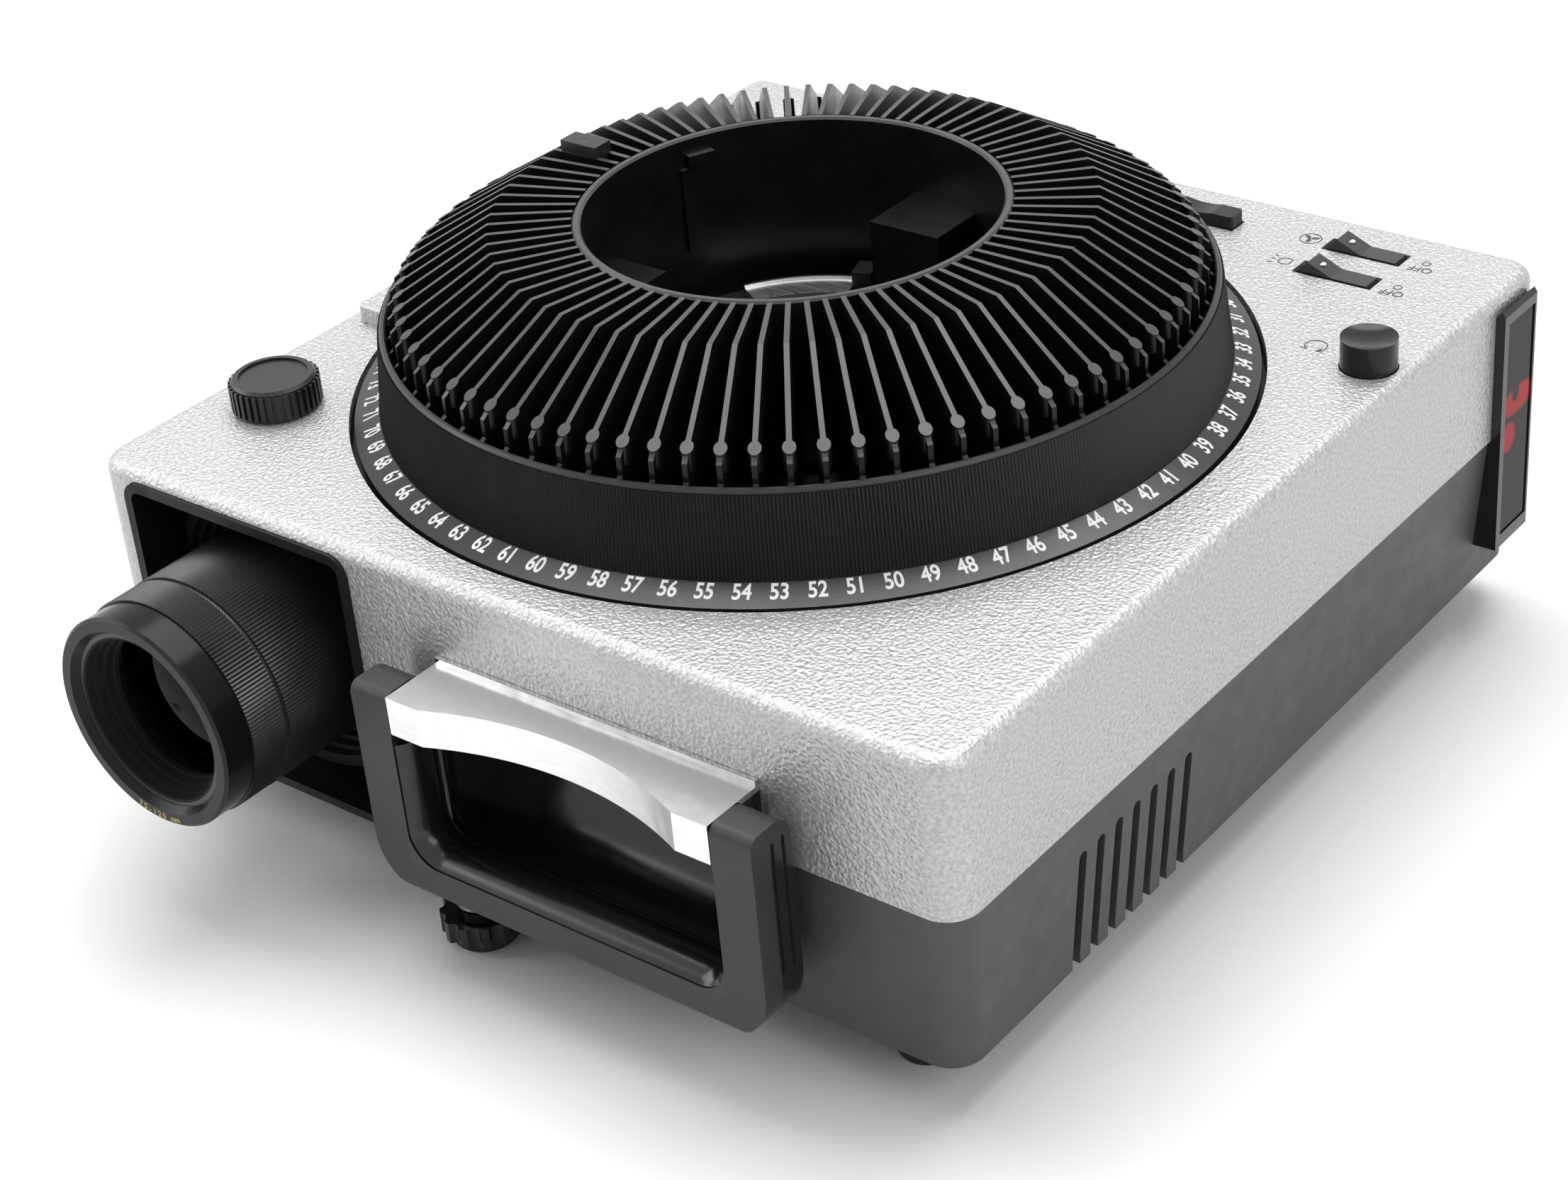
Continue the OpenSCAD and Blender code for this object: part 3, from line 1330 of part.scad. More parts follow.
// Guides and bearings of the rockers and buttons, fixed under the cover.
module switch_block() {
    color("gray") for (y = [power_y, lamp_y])
        difference() {
            box(rocker_x - 14, rocker_x + 14, y - rocker_w / 2 - 2.6, y + rocker_w / 2 + 2.6,
                guide_foot, under);
            box(rocker_x - 12.5, rocker_x + 12.5, y - rocker_w / 2 - 0.6, y + rocker_w / 2 + 0.6,
                guide_foot + 1.6, under + 1);
            translate([rocker_x, y - 10, rocker_pin_z]) rotate([-90, 0, 0])
                cylinder(r = 1 + run_gap, h = 20);
        }
    color("gray") for (x = [forward_x, reverse_x])
        difference() {
            box(x - button_l / 2 - 3.2, x + button_l / 2 + 3.2, button_y - button_w / 2 - 3.2,
                button_y + button_w / 2 + 3.2, guide_foot, under);
            box(x - button_l / 2 - 1.9, x + button_l / 2 + 1.9, button_y - button_w / 2 - 1.9,
                button_y + button_w / 2 + 1.9, guide_foot + 1.6, under + 1);
            translate([x, button_y, guide_foot - 1]) cylinder(r = stem_r + run_gap, h = 5);
        }
    color("gray") translate([select_x, select_y, guide_foot]) difference() {
        cylinder(r = select_r + 2.4, h = under - guide_foot);
        translate([0, 0, 1.6]) cylinder(r = select_r + 0.9, h = 20);
        // Flat towards the side of the cover
        box(body_right - wall - edge_r / 2 - select_x, body_right, -20, 20, -1, 20);
        translate([0, 0, -1]) cylinder(r = stem_r + run_gap, h = 5);
    }
}

coil_turns = 4;
coil_steps = 10;
coil_sides = 6;
coil_wire_r = 0.35;
coil_r = 2.6;
spring_z0 = guide_foot + 1.6 + 0.02;
spring_z1 = flange_z - 0.02;

// An open coil spring from height z0 to z1.
module coil(z0, z1) {
    rings = coil_turns * coil_steps;
    rise = z1 - z0 - 2 * coil_wire_r;
    points = [for (i = [0 : rings], j = [0 : coil_sides - 1])
        let (a = i * 360 / coil_steps, b = j * 360 / coil_sides, r = coil_r + coil_wire_r * cos(b))
            [r * cos(a), r * sin(a), z0 + coil_wire_r + rise * i / rings + coil_wire_r * sin(b)]];
    sides = [for (i = [0 : rings - 1], j = [0 : coil_sides - 1])
        let (k = (j + 1) % coil_sides)
            [i * coil_sides + j, i * coil_sides + k, (i + 1) * coil_sides + k, (i + 1) * coil_sides + j]];
    first = [for (j = [coil_sides - 1 : -1 : 0]) j];
    last = [for (j = [0 : coil_sides - 1]) rings * coil_sides + j];
    polyhedron(points, concat([first], sides, [last]), convexity = 8);
}

module forward_spring() {
    color("silver") translate([forward_x, button_y, 0]) coil(spring_z0, spring_z1);
}

module reverse_spring() {
    color("silver") translate([reverse_x, button_y, 0]) coil(spring_z0, spring_z1);
}

module select_spring() {
    color("silver") translate([select_x, select_y, 0]) coil(spring_z0, spring_z1);
}

place() top_cover();
place() lower_housing();
place() base_plate();
place() tray_well();
place() lamp_house_cover();
place() side_trim();
place() side_window();
place() lens_tunnel();
place() handle_pocket();
place() handle_strip();
place() handle_pins();
place() handle_grip();
place() rear_panel();
place() power_inlet();
place() remote_socket();
place() rubber_feet();
place() cover_screws();
place() foot_bush();
place() levelling_foot();
place() foot_pad();
place() retainer_plate();
place() centre_spindle();
place() centre_ring();
place() tray_flange();
place() tray_hub();
place() tray_dividers();
place() zero_tab();
place() drive_ring();
place() index_pinion();
place() index_motor();
place() optical_bench();
place() lens_sleeve();
place() lens_barrel();
place() front_ring();
place() zoom_ring();
place() lens_glasses();
place() zoom_cell();
place() focus_knob();
place() focus_shaft();
place() gate_frame();
place() slide_lifter();
place() condensers();
place() heat_glass();
place() reflector();
place() lamp();
place() lamp_house();
place() fan_shroud();
place() fan_motor();
place() fan_impeller();
place() transformer();
place() control_board();
place() switch_block();
place() power_rocker();
place() lamp_rocker();
place() forward_button();
place() reverse_button();
place() select_button();
place() forward_spring();
place() reverse_spring();
place() select_spring();
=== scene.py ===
"""A slide projector with a rotary tray: looks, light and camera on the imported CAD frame."""

import json
import math

import bpy
from mathutils import Matrix, Vector


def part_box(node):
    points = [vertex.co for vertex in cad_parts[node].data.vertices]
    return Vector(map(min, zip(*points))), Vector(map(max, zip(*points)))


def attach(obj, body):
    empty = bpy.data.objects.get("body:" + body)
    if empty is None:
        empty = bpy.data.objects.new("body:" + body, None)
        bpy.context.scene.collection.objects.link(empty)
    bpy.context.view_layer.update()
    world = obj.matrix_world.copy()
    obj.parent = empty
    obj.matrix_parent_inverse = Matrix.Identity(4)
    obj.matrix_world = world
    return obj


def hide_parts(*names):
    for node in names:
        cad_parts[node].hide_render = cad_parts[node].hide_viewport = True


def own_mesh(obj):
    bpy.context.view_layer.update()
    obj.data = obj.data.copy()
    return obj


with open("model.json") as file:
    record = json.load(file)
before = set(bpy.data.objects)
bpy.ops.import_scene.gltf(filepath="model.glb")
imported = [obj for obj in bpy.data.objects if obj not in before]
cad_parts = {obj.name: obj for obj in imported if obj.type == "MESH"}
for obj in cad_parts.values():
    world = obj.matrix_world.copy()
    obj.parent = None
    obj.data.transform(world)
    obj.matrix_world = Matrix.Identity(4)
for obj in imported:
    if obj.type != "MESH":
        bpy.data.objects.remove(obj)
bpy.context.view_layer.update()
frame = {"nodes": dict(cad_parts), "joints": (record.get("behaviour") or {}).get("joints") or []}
NODES = frame["nodes"]

MM = 0.001

# Places that the pieces share, read from the frame.
flange_low, flange_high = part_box("tray_flange")
TRAY_X = (flange_low[0] + flange_high[0]) / 2
TRAY_Y = (flange_low[1] + flange_high[1]) / 2
FLANGE_R = (flange_high[0] - flange_low[0]) / 2
TOP_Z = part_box("top_cover")[1][2]
ring_low, ring_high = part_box("front_ring")
LENS_X = (ring_low[0] + ring_high[0]) / 2
LENS_Y = ring_low[1]
LENS_Z = (ring_low[2] + ring_high[2]) / 2

# Sizes inside a node, as the CAD has them.
PLACES = 81  # 80 slides and the empty place
FLANGE_TILT = 22  # the numbered flange's slope, in degrees
RIM_Z = TOP_Z + 3.2 * MM  # where the flange ends and the tray's wall starts
BLADE_TOP_Z = TOP_Z + 31 * MM  # above this, upward faces of the tray's edges get a painted sheen
BAFFLE_Y = LENS_Y + 11.4 * MM  # the back of the baffle ahead of the front glass
ARM_W = 12.3 * MM  # the handle's arms
BAR_H = 10.5 * MM  # the handle's bar
GROOVE_Y = 6.6 * MM  # from the handle's front to the grooves of its outer sides


# ---- Materials ----


class Graph:
    """Adds nodes to a node tree. A value is a number, a colour or another node's output."""

    def __init__(self, tree):
        self.nodes = tree.nodes
        self.links = tree.links

    def give(self, socket, value):
        if isinstance(value, bpy.types.NodeSocket):
            self.links.new(value, socket)
        elif isinstance(value, tuple) and socket.type == "RGBA":
            socket.default_value = value + (1,)
        else:
            socket.default_value = value

    def math(self, operation, *values):
        node = self.nodes.new("ShaderNodeMath")
        node.operation = operation
        for socket, value in zip(node.inputs, values):
            self.give(socket, value)
        return node.outputs[0]

    def product(self, first, *others):
        for other in others:
            first = self.math("MULTIPLY", first, other)
        return first

    def spot(self):
        """Where a point of the piece lies in the frame, in metres."""
        return self.nodes.new("ShaderNodeTexCoord").outputs["Object"]

    def along(self, vector, axis):
        split = self.nodes.new("ShaderNodeSeparateXYZ")
        self.links.new(vector, split.inputs[0])
        return split.outputs[axis]

    def position(self, axis):
        return self.along(self.spot(), axis)

    def facing(self, axis):
        """How far a face looks along an axis, from -1 to 1."""
        return self.along(self.nodes.new("ShaderNodeNewGeometry").outputs["Normal"], axis)

    def step(self, value, low, high):
        """0 up to low, 1 from high on; low may be the larger one."""
        node = self.nodes.new("ShaderNodeMapRange")
        node.inputs["From Min"].default_value = low
        node.inputs["From Max"].default_value = high
        self.links.new(value, node.inputs["Value"])
        return node.outputs["Result"]

    def edge(self, axis, place, width=0.2 * MM):
        """A step from 0 to 1 across a place on an axis; a negative width turns it round."""
        return self.step(self.position(axis), place - width / 2, place + width / 2)

    def noise(self, scale, detail=4.0, vector=None):
        """A noise texture; scale is in features per metre."""
        node = self.nodes.new("ShaderNodeTexNoise")
        node.inputs["Scale"].default_value = scale
        node.inputs["Detail"].default_value = detail
        node.inputs["Roughness"].default_value = 0.55
        self.links.new(self.spot() if vector is None else vector, node.inputs["Vector"])
        return node.outputs["Fac"]

    def ramp(self, value, first, second, start=0.3, end=0.7):
        """A ramp from one grey or colour to another."""
        node = self.nodes.new("ShaderNodeValToRGB")
        self.links.new(value, node.inputs["Fac"])
        for element, place, tone in zip(node.color_ramp.elements, (start, end), (first, second)):
            element.position = place
            element.color = (tone if isinstance(tone, tuple) else (tone,) * 3) + (1,)
        return node.outputs[0]

    def varied(self, value, tone, spread):
        """A ramp that varies a grey or colour by the same share either way."""
        if not isinstance(tone, tuple):
            return self.ramp(value, tone * (1 - spread), min(1.0, tone * (1 + spread)))
        return self.ramp(value, scaled(tone, 1 - spread), scaled(tone, 1 + spread))

    def mix(self, where, first, second, colour=True):
        """The first value where the mask is 0, and the second where it is 1."""
        node = self.nodes.new("ShaderNodeMix")
        if colour:
            node.data_type = "RGBA"
        for name, value in (("Factor", where), ("A", first), ("B", second)):
            self.give(node.inputs[name], value)
        return node.outputs["Result"]


class Finish(Graph):
    """A new material and its Principled shader."""

    def __init__(self, name):
        self.material = bpy.data.materials.new(name)
        self.material.use_nodes = True
        super().__init__(self.material.node_tree)
        self.shader = self.nodes["Principled BSDF"]

    def surface(self, values):
        for name, value in values.items():
            self.give(self.shader.inputs[name], value)

    def source(self, name):
        """What feeds one of the shader's inputs."""
        return self.shader.inputs[name].links[0].from_socket

    def bump(self, height, strength, distance, under=None):
        node = self.nodes.new("ShaderNodeBump")
        node.inputs["Strength"].default_value = strength
        node.inputs["Distance"].default_value = distance
        self.links.new(height, node.inputs["Height"])
        if under is not None:
            self.links.new(under, node.inputs["Normal"])
        self.links.new(node.outputs[0], self.shader.inputs["Normal"])
        return node.outputs[0]


def scaled(colour, factor):
    return tuple(min(1.0, c * factor) for c in colour)


def plain(name, colour, rough, metal=0.0, grain=900.0, relief=0.05, spread=0.15, specular=0.5):
    """A moulded or painted finish: slight changes of tone and gloss, and a fine grain."""
    finish = Finish(name)
    finish.surface({
        "Metallic": metal,
        "Specular IOR Level": specular,
        "Base Color": finish.varied(finish.noise(35.0, 3.0), colour, spread),
        "Roughness": finish.varied(finish.noise(120.0), rough, 0.15),
    })
    finish.bump(finish.noise(grain, 2.0), relief, 0.4 * MM)
    return finish


def printed(name, colour, rough=0.5):
    """Ink or raised print."""
    return plain(name, colour, rough, grain=1500.0, relief=0.02, spread=0.05)


def two_tone(name, first, second, mask, relief=0.08, specular=0.5):
    """Two finishes on one piece, each a (colour, roughness); the second shows where mask(finish) is 1."""
    finish = Finish(name)
    where = mask(finish)
    tone = finish.noise(40.0, 3.0)
    colours = [finish.varied(tone, colour, 0.14) for colour, _ in (first, second)]
    roughs = [finish.varied(tone, rough, 0.12) for _, rough in (first, second)]
    finish.surface({
        "Base Color": finish.mix(where, *colours),
        "Roughness": finish.mix(where, *roughs, colour=False),
        "Specular IOR Level": specular,
    })
    finish.bump(finish.noise(1200.0, 2.0), relief, 0.3 * MM)
    return finish


def silver_paint():
    """Silver-grey paint sprayed over a fine pebbled grain."""
    finish = Finish("silver_paint")
    fleck = finish.noise(1000.0, 3.0)
    cloud = finish.ramp(finish.noise(14.0), (0.46, 0.465, 0.46), (0.52, 0.525, 0.52))
    flakes = finish.ramp(fleck, (0.33, 0.335, 0.33), (0.64, 0.645, 0.64), 0.35, 0.65)
    finish.surface({
        "Metallic": 0.55,
        "Specular IOR Level": 0.5,
        "Base Color": finish.mix(0.55, cloud, flakes),
        "Roughness": finish.ramp(fleck, 0.36, 0.5),
    })
    # Pebbles, pushed about so that they aren't round
    spot = finish.spot()
    warp = finish.noise(260.0, 3.0, vector=spot)
    shift = finish.nodes.new("ShaderNodeVectorMath")
    shift.operation = "MULTIPLY_ADD"
    finish.links.new(warp.node.outputs["Color"], shift.inputs[0])
    shift.inputs[1].default_value = (1.6 * MM,) * 3
    finish.links.new(spot, shift.inputs[2])
    pebble = finish.nodes.new("ShaderNodeTexVoronoi")
    pebble.feature = "SMOOTH_F1"
    pebble.inputs["Scale"].default_value = 950.0
    pebble.inputs["Smoothness"].default_value = 0.6
    finish.links.new(shift.outputs[0], pebble.inputs["Vector"])
    first = finish.bump(pebble.outputs["Distance"], 0.7, 0.4 * MM)
    finish.bump(warp, 0.3, 0.6 * MM, under=first)
    return finish


def tray_plastic():
    """Semi-gloss black; the upward faces of the edges on top get a painted sheen, lighter and more
    specular.
    """
    finish = Finish("tray_plastic")
    # Painted sheen: upward faces above the blade tops are lighter grey and more specular.
    painted_sheen = finish.product(finish.step(finish.facing("Z"), 0.35, 0.8),
                            finish.edge("Z", BLADE_TOP_Z, 1 * MM))
    tone = finish.noise(90.0)
    greys = [finish.ramp(tone, grey * 0.8, grey) for grey in (0.006, 0.050)]
    finish.surface({
        "Base Color": finish.mix(painted_sheen, *greys),
        "Specular IOR Level": finish.math("MULTIPLY_ADD", painted_sheen, 0.25, 0.25),
        "Roughness": finish.ramp(tone, 0.26, 0.36),
    })
    finish.bump(finish.noise(1500.0, 2.0), 0.04, 0.3 * MM)
    return finish


def bright_metal(name, colour, rough, dent=0.3):
    """Metal with slight dents, and drawn marks along X."""
    finish = Finish(name)
    stretch = finish.nodes.new("ShaderNodeMapping")
    stretch.inputs["Scale"].default_value = (1.0, 30.0, 30.0)
    finish.links.new(finish.spot(), stretch.inputs["Vector"])
    marks = finish.noise(60.0, 5.0, vector=stretch.outputs[0])
    finish.surface({
        "Metallic": 1.0,
        "Base Color": finish.ramp(marks, scaled(colour, 0.85), colour),
        "Roughness": finish.varied(marks, rough, 0.3),
    })
    finish.bump(finish.noise(70.0, 2.0), dent, 2 * MM)
    return finish


def strip_metal():
    """Bright folded strip: the shelf on top is satin and grey, the front band is polished."""
    finish = bright_metal("bright_strip", (0.86, 0.86, 0.86), 0.16, 0.12)
    upward = finish.step(finish.facing("Z"), 0.5, 0.9)
    finish.surface({
        "Base Color": finish.mix(upward, finish.source("Base Color"), (0.58, 0.585, 0.58)),
        "Roughness": finish.mix(upward, finish.source("Roughness"), 0.26, colour=False),
    })
    return finish


def clear_glass(name="clear_glass", colour=(0.83, 0.88, 0.94), index=1.5):
    finish = Finish(name)
    tone = finish.noise(20.0, 2.0)
    finish.surface({
        "Transmission Weight": 1.0,
        "IOR": index,
        "Base Color": finish.ramp(tone, scaled(colour, 0.97), colour),
        "Roughness": finish.ramp(tone, 0.01, 0.03),
    })
    return finish


def lens_glass():
    """Glass tinted near-black as painted shade down the barrel, with the black baffle ahead of it."""
    # Painted shade: the glass's colour is nearly black, standing in for the dark inside of the barrel.
    finish = clear_glass("lens_glass", (0.004, 0.005, 0.006), 1.15)
    behind = finish.edge("Y", BAFFLE_Y, 0.1 * MM)
    finish.surface({
        "Transmission Weight": behind,
        "Base Color": finish.mix(behind, (0.022, 0.022, 0.023), finish.source("Base Color")),
        "Roughness": finish.mix(behind, 0.5, finish.source("Roughness"), colour=False),
    })
    return finish


def smoked_window():
    """Dark smoked plastic with red shapes showing through its middle."""
    finish = Finish("smoked_window")
    low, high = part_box("side_window")
    y, z = finish.position("Y"), finish.position("Z")
    wide, middle = high[1] - low[1], low[2] + (high[2] - low[2]) * 0.56

    def oval(across, above, half_width, half_height):
        """1 inside an oval; its place and width across the window are shares of the window's width."""
        square = None
        for value, centre, half in ((y, low[1] + wide * across, wide * half_width),
                                    (z, middle + above * MM, half_height * MM)):
            part = finish.math("DIVIDE", finish.math("SUBTRACT", value, centre), half)
            part = finish.product(part, part)
            square = part if square is None else finish.math("ADD", square, part)
        return finish.step(square, 1.15, 0.6)

    band = finish.math("SUBTRACT", oval(0.5, 3, 0.7, 4.5), oval(0.42, 5.5, 0.14, 3))
    red = finish.math("MAXIMUM", band, oval(0.2, -7.5, 0.28, 5))
    finish.surface({
        "Base Color": finish.mix(red, (0.010, 0.006, 0.007), (0.33, 0.004, 0.008)),
        "Specular IOR Level": 0.08,
        "Roughness": finish.ramp(finish.noise(75.0, 2.0), 0.06, 0.12),
    })
    return finish


def wall_mask(finish):
    """1 on the tray's wall, over its flange."""
    return finish.edge("Z", RIM_Z)


def face_mask(finish):
    """1 on the faces that look forward."""
    return finish.step(finish.facing("Y"), -0.5, -0.9)


def grip_mask(finish):
    """1 on the rounded inner side of the handle and in the grooves of its outer sides."""
    low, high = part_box("handle_grip")
    inside = finish.product(finish.edge("X", low[0] + ARM_W), finish.edge("X", high[0] - ARM_W, -0.2 * MM),
                            finish.edge("Z", low[2] + BAR_H))
    sideways = finish.step(finish.math("ABSOLUTE", finish.facing("X")), 0.8, 0.9)
    outer = finish.product(sideways, finish.edge("Y", low[1] + GROOVE_Y, 0.4 * MM))
    return finish.math("MAXIMUM", inside, outer)


def paint_nodes():
    """Gives every CAD node its finish, and returns the materials by name."""
    black = (0.010, 0.010, 0.011)
    finishes = {
        silver_paint(): ["top_cover", "lamp_house_cover"],
        plain("dark_housing", (0.052, 0.052, 0.053), 0.5, grain=1500.0, relief=0.3, spread=0.06): [
            "lower_housing", "base_plate"],
        plain("black_plastic", (0.012, 0.012, 0.013), 0.42, grain=1300.0, relief=0.08): [
            "rear_panel", "power_inlet", "remote_socket", "centre_spindle", "tray_well",
            "fan_shroud", "fan_impeller", "switch_block", "zero_tab"],
        plain("tunnel_black", (0.008, 0.008, 0.009), 0.5, specular=0.2): ["lens_tunnel"],
        plain("gloss_black", (0.007, 0.007, 0.008), 0.16, grain=500.0, relief=0.01, spread=0.05): [
            "side_trim", "handle_pocket", "levelling_foot"],
        plain("button_black", (0.006, 0.006, 0.007), 0.16, grain=500.0, relief=0.01, spread=0.05,
              specular=0.3): [
            "select_button", "forward_button", "reverse_button"],
        plain("knob_black", black, 0.34, relief=0.04): ["focus_knob"],
        plain("rocker_grey", (0.022, 0.022, 0.023), 0.32, relief=0.04): ["power_rocker", "lamp_rocker"],
        tray_plastic(): ["tray_dividers", "tray_hub", "drive_ring"],
        two_tone("flange_black", (black, 0.3), (black, 0.42), wall_mask): ["tray_flange"],
        plain("lens_black", (0.017, 0.017, 0.018), 0.36, relief=0.03): ["lens_barrel", "zoom_ring"],
        two_tone("front_ring_black", ((0.006, 0.006, 0.007), 0.2), ((0.034, 0.034, 0.036), 0.42), face_mask,
                 relief=0.01, specular=0.15): ["front_ring"],
        two_tone("grip_rubber", ((0.016, 0.0163, 0.0165), 0.5), (black, 0.2), grip_mask, relief=0.05): [
            "handle_grip"],
        strip_metal(): ["handle_strip"],
        bright_metal("satin_aluminium", (0.62, 0.62, 0.62), 0.34, 0.1): [
            "retainer_plate", "centre_ring", "optical_bench", "lens_sleeve", "zoom_cell"],
        bright_metal("steel", (0.45, 0.45, 0.46), 0.32, 0.05): [
            "handle_pins", "cover_screws", "foot_bush", "index_motor", "focus_shaft", "gate_frame",
            "slide_lifter", "lamp_house", "fan_motor", "forward_spring", "reverse_spring", "select_spring"],
        bright_metal("mirror", (0.9, 0.9, 0.9), 0.04, 0.02): ["reflector"],
        plain("rubber", (0.020, 0.020, 0.021), 0.75, grain=700.0, relief=0.2, specular=0.3): [
            "rubber_feet", "foot_pad"],
        plain("nylon", (0.62, 0.60, 0.52), 0.45): ["index_pinion"],
        plain("iron", (0.07, 0.07, 0.07), 0.6, metal=0.6): ["transformer"],
        plain("board_green", (0.03, 0.13, 0.05), 0.4): ["control_board"],
        lens_glass(): ["lens_glasses"],
        clear_glass(): ["condensers", "heat_glass", "lamp"],
        smoked_window(): ["side_window"],
    }
    for finish, names in finishes.items():
        for name in names:
            for slot in NODES[name].material_slots:
                slot.material = finish.material
    return {finish.material.name.split(".")[0]: finish.material for finish in finishes}


# ---- Pieces ----


def linked(name, data, place=None):
    """A new object in the scene."""
    piece = bpy.data.objects.new(name, data)
    bpy.context.scene.collection.objects.link(piece)
    if place is not None:
        piece.matrix_world = place
    return piece


def mesh_object(name, verts, faces, *materials):
    mesh = bpy.data.meshes.new(name)
    mesh.from_pydata(verts, [], faces)
    mesh.validate()
    mesh.update()
    for material in materials:
        mesh.materials.append(material)
    return linked(name, mesh)


def joined(name, pieces, material, body):
    """Joins curve, text and mesh pieces into one mesh that rides on a body."""
    depsgraph = bpy.context.evaluated_depsgraph_get()
    verts, faces = [], []
    for piece in pieces:
        mesh = bpy.data.meshes.new_from_object(piece.evaluated_get(depsgraph))
        start = len(verts)
        verts += [piece.matrix_world @ v.co for v in mesh.vertices]
        faces += [[start + i for i in p.vertices] for p in mesh.polygons]
        bpy.data.meshes.remove(mesh)
    for piece in pieces:
        bpy.data.objects.remove(piece)
    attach(mesh_object(name, verts, faces, material), body)


def text(body, size, place, depth, wide=1.0, bold=0.0):
    """A line of raised text; place is the matrix of its middle."""
    curve = bpy.data.curves.new("text", "FONT")
    curve.body = body
    curve.size = size
    curve.extrude = depth
    curve.bevel_depth = bold
    curve.bevel_resolution = 1
    curve.align_x = "CENTER"
    curve.align_y = "CENTER"
    return linked("text", curve, place @ Matrix.Diagonal((wide, 1, 1, 1)))


def line(points, width, place, height=0.08 * MM, closed=False):
    """A thin flat line through points on the plane of place."""
    curve = bpy.data.curves.new("line", "CURVE")
    curve.dimensions = "3D"
    curve.bevel_depth = width / 2
    curve.bevel_resolution = 2
    spline = curve.splines.new("POLY")
    spline.points.add(len(points) - 1)
    for point, (x, y) in zip(spline.points, points):
        point.co = (x, y, 0, 1)
    spline.use_cyclic_u = closed
    return linked("line", curve, place @ Matrix.Diagonal((1, 1, height / (width / 2), 1)))


def on_circle(radius, degrees, centre=(0, 0)):
    """The point at an angle on a circle."""
    a = math.radians(degrees)
    return centre[0] + radius * math.cos(a), centre[1] + radius * math.sin(a)


def arc(radius, start, end, steps=24, centre=(0, 0)):
    return [on_circle(radius, start + (end - start) * i / steps, centre) for i in range(steps + 1)]


def disc(width, height, place, steps=20):
    """A flat oval of ink."""
    ring = arc(1, 0, 360 * (steps - 1) / steps, steps - 1)
    points = [(x * width / 2, y * height / 2, 0) for x, y in ring]
    piece = mesh_object("disc", points, [tuple(range(steps))])
    piece.matrix_world = place
    return piece


def turned(degrees, axis):
    return Matrix.Rotation(math.radians(degrees), 4, axis)


def on_tray(degrees, radius, height, tilt):
    """The place of a mark on the tray: its own up is towards the axis, and it is read from outside."""
    spot = Vector((*on_circle(radius, degrees, (TRAY_X, TRAY_Y)), height))
    return Matrix.Translation(spot) @ turned(degrees + 90, "Z") @ turned(tilt, "X")


def on_cover(x, y):
    """The place of a mark on the cover, read from behind; x and y are in mm from the tray's axis."""
    spot = Vector((TRAY_X + x * MM, TRAY_Y + y * MM, TOP_Z + 0.05 * MM))
    return Matrix.Translation(spot) @ turned(180, "Z")


def tray_numbers(white):
    """Raised white numbers 1 to 80 round the flange, one for each place."""
    pitch = 360 / PLACES
    radius = FLANGE_R - 4.6 * MM
    height = TOP_Z + 1.75 * MM
    marks = [text(str(n), 6.7 * MM, on_tray(180 - pitch * n, radius, height, FLANGE_TILT), 0.04 * MM,
                  wide=0.74, bold=0.19 * MM)
             for n in range(1, PLACES)]
    joined("tray_numbers", marks, white, "tray")


def wall_ribs(black, groove):
    """The fine upright ribs round the tray's outer wall, nine to each place."""
    count = 9 * PLACES
    foot = FLANGE_R - 7.7 * MM, TOP_Z + 3.3 * MM
    top = FLANGE_R - 10.3 * MM, flange_high[2] - 1.2 * MM
    verts, faces = [], []
    for i in range(2 * count):
        out = 0.45 * MM if i % 2 else 0.02 * MM
        for radius, z in (foot, top):
            verts.append((*on_circle(radius + out, 180 * i / count, (TRAY_X, TRAY_Y)), z))
        j = (i + 1) % (2 * count)
        faces.append((2 * i, 2 * j, 2 * j + 1, 2 * i + 1))
    piece = mesh_object("wall_ribs", verts, faces, black, groove)
    for i, face in enumerate(piece.data.polygons):
        face.material_index = i % 2
    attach(piece, "tray")


def zero_mark(black):
    """A raised ring, the tray's nought, on the tab over the empty place."""
    low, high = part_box("zero_tab")
    spot = Vector(((low[0] + high[0]) / 2 - 1 * MM, (low[1] + high[1]) / 2, high[2] - 0.2 * MM))
    place = Matrix.Translation(spot) @ Matrix.Diagonal((1.25, 0.8, 1, 1))
    ring = line(arc(2.2 * MM, 0, 350), 0.9 * MM, place, height=0.3 * MM, closed=True)
    joined("zero_mark", [ring], black, "tray")


def off_marks(x, rows, fine):
    """The word OFF with a ring over it, beside each rocker."""
    for y in rows:
        yield text("OFF", 4.4 * MM, on_cover(x, y), 0.03 * MM, wide=0.95)
        yield line(arc(1.2 * MM, 0, 345), fine, on_cover(x - 0.1, y + 3.8), closed=True)


def fan_mark(place, fine):
    """A fan in a ring."""
    yield line(arc(3.2 * MM, 0, 352), fine, place, closed=True)
    for turn in (90, 210, 330):
        blade = place @ turned(turn, "Z") @ Matrix.Translation((1.35 * MM, 0, 0.05 * MM))
        yield disc(2.3 * MM, 1.3 * MM, blade)


def lamp_mark(place, fine):
    """A lamp with three rays."""
    back = -2.2 * MM
    bulb = arc(2.0 * MM, -90, 90, centre=(-0.4 * MM, 0))
    yield line([(back, -1.5 * MM)] + bulb + [(back, 1.5 * MM)], fine, place, closed=True)
    for y in (-1.8, 0, 1.8):
        yield line([(2.7 * MM, y * MM), (4.0 * MM, y * 1.5 * MM)], fine, place)


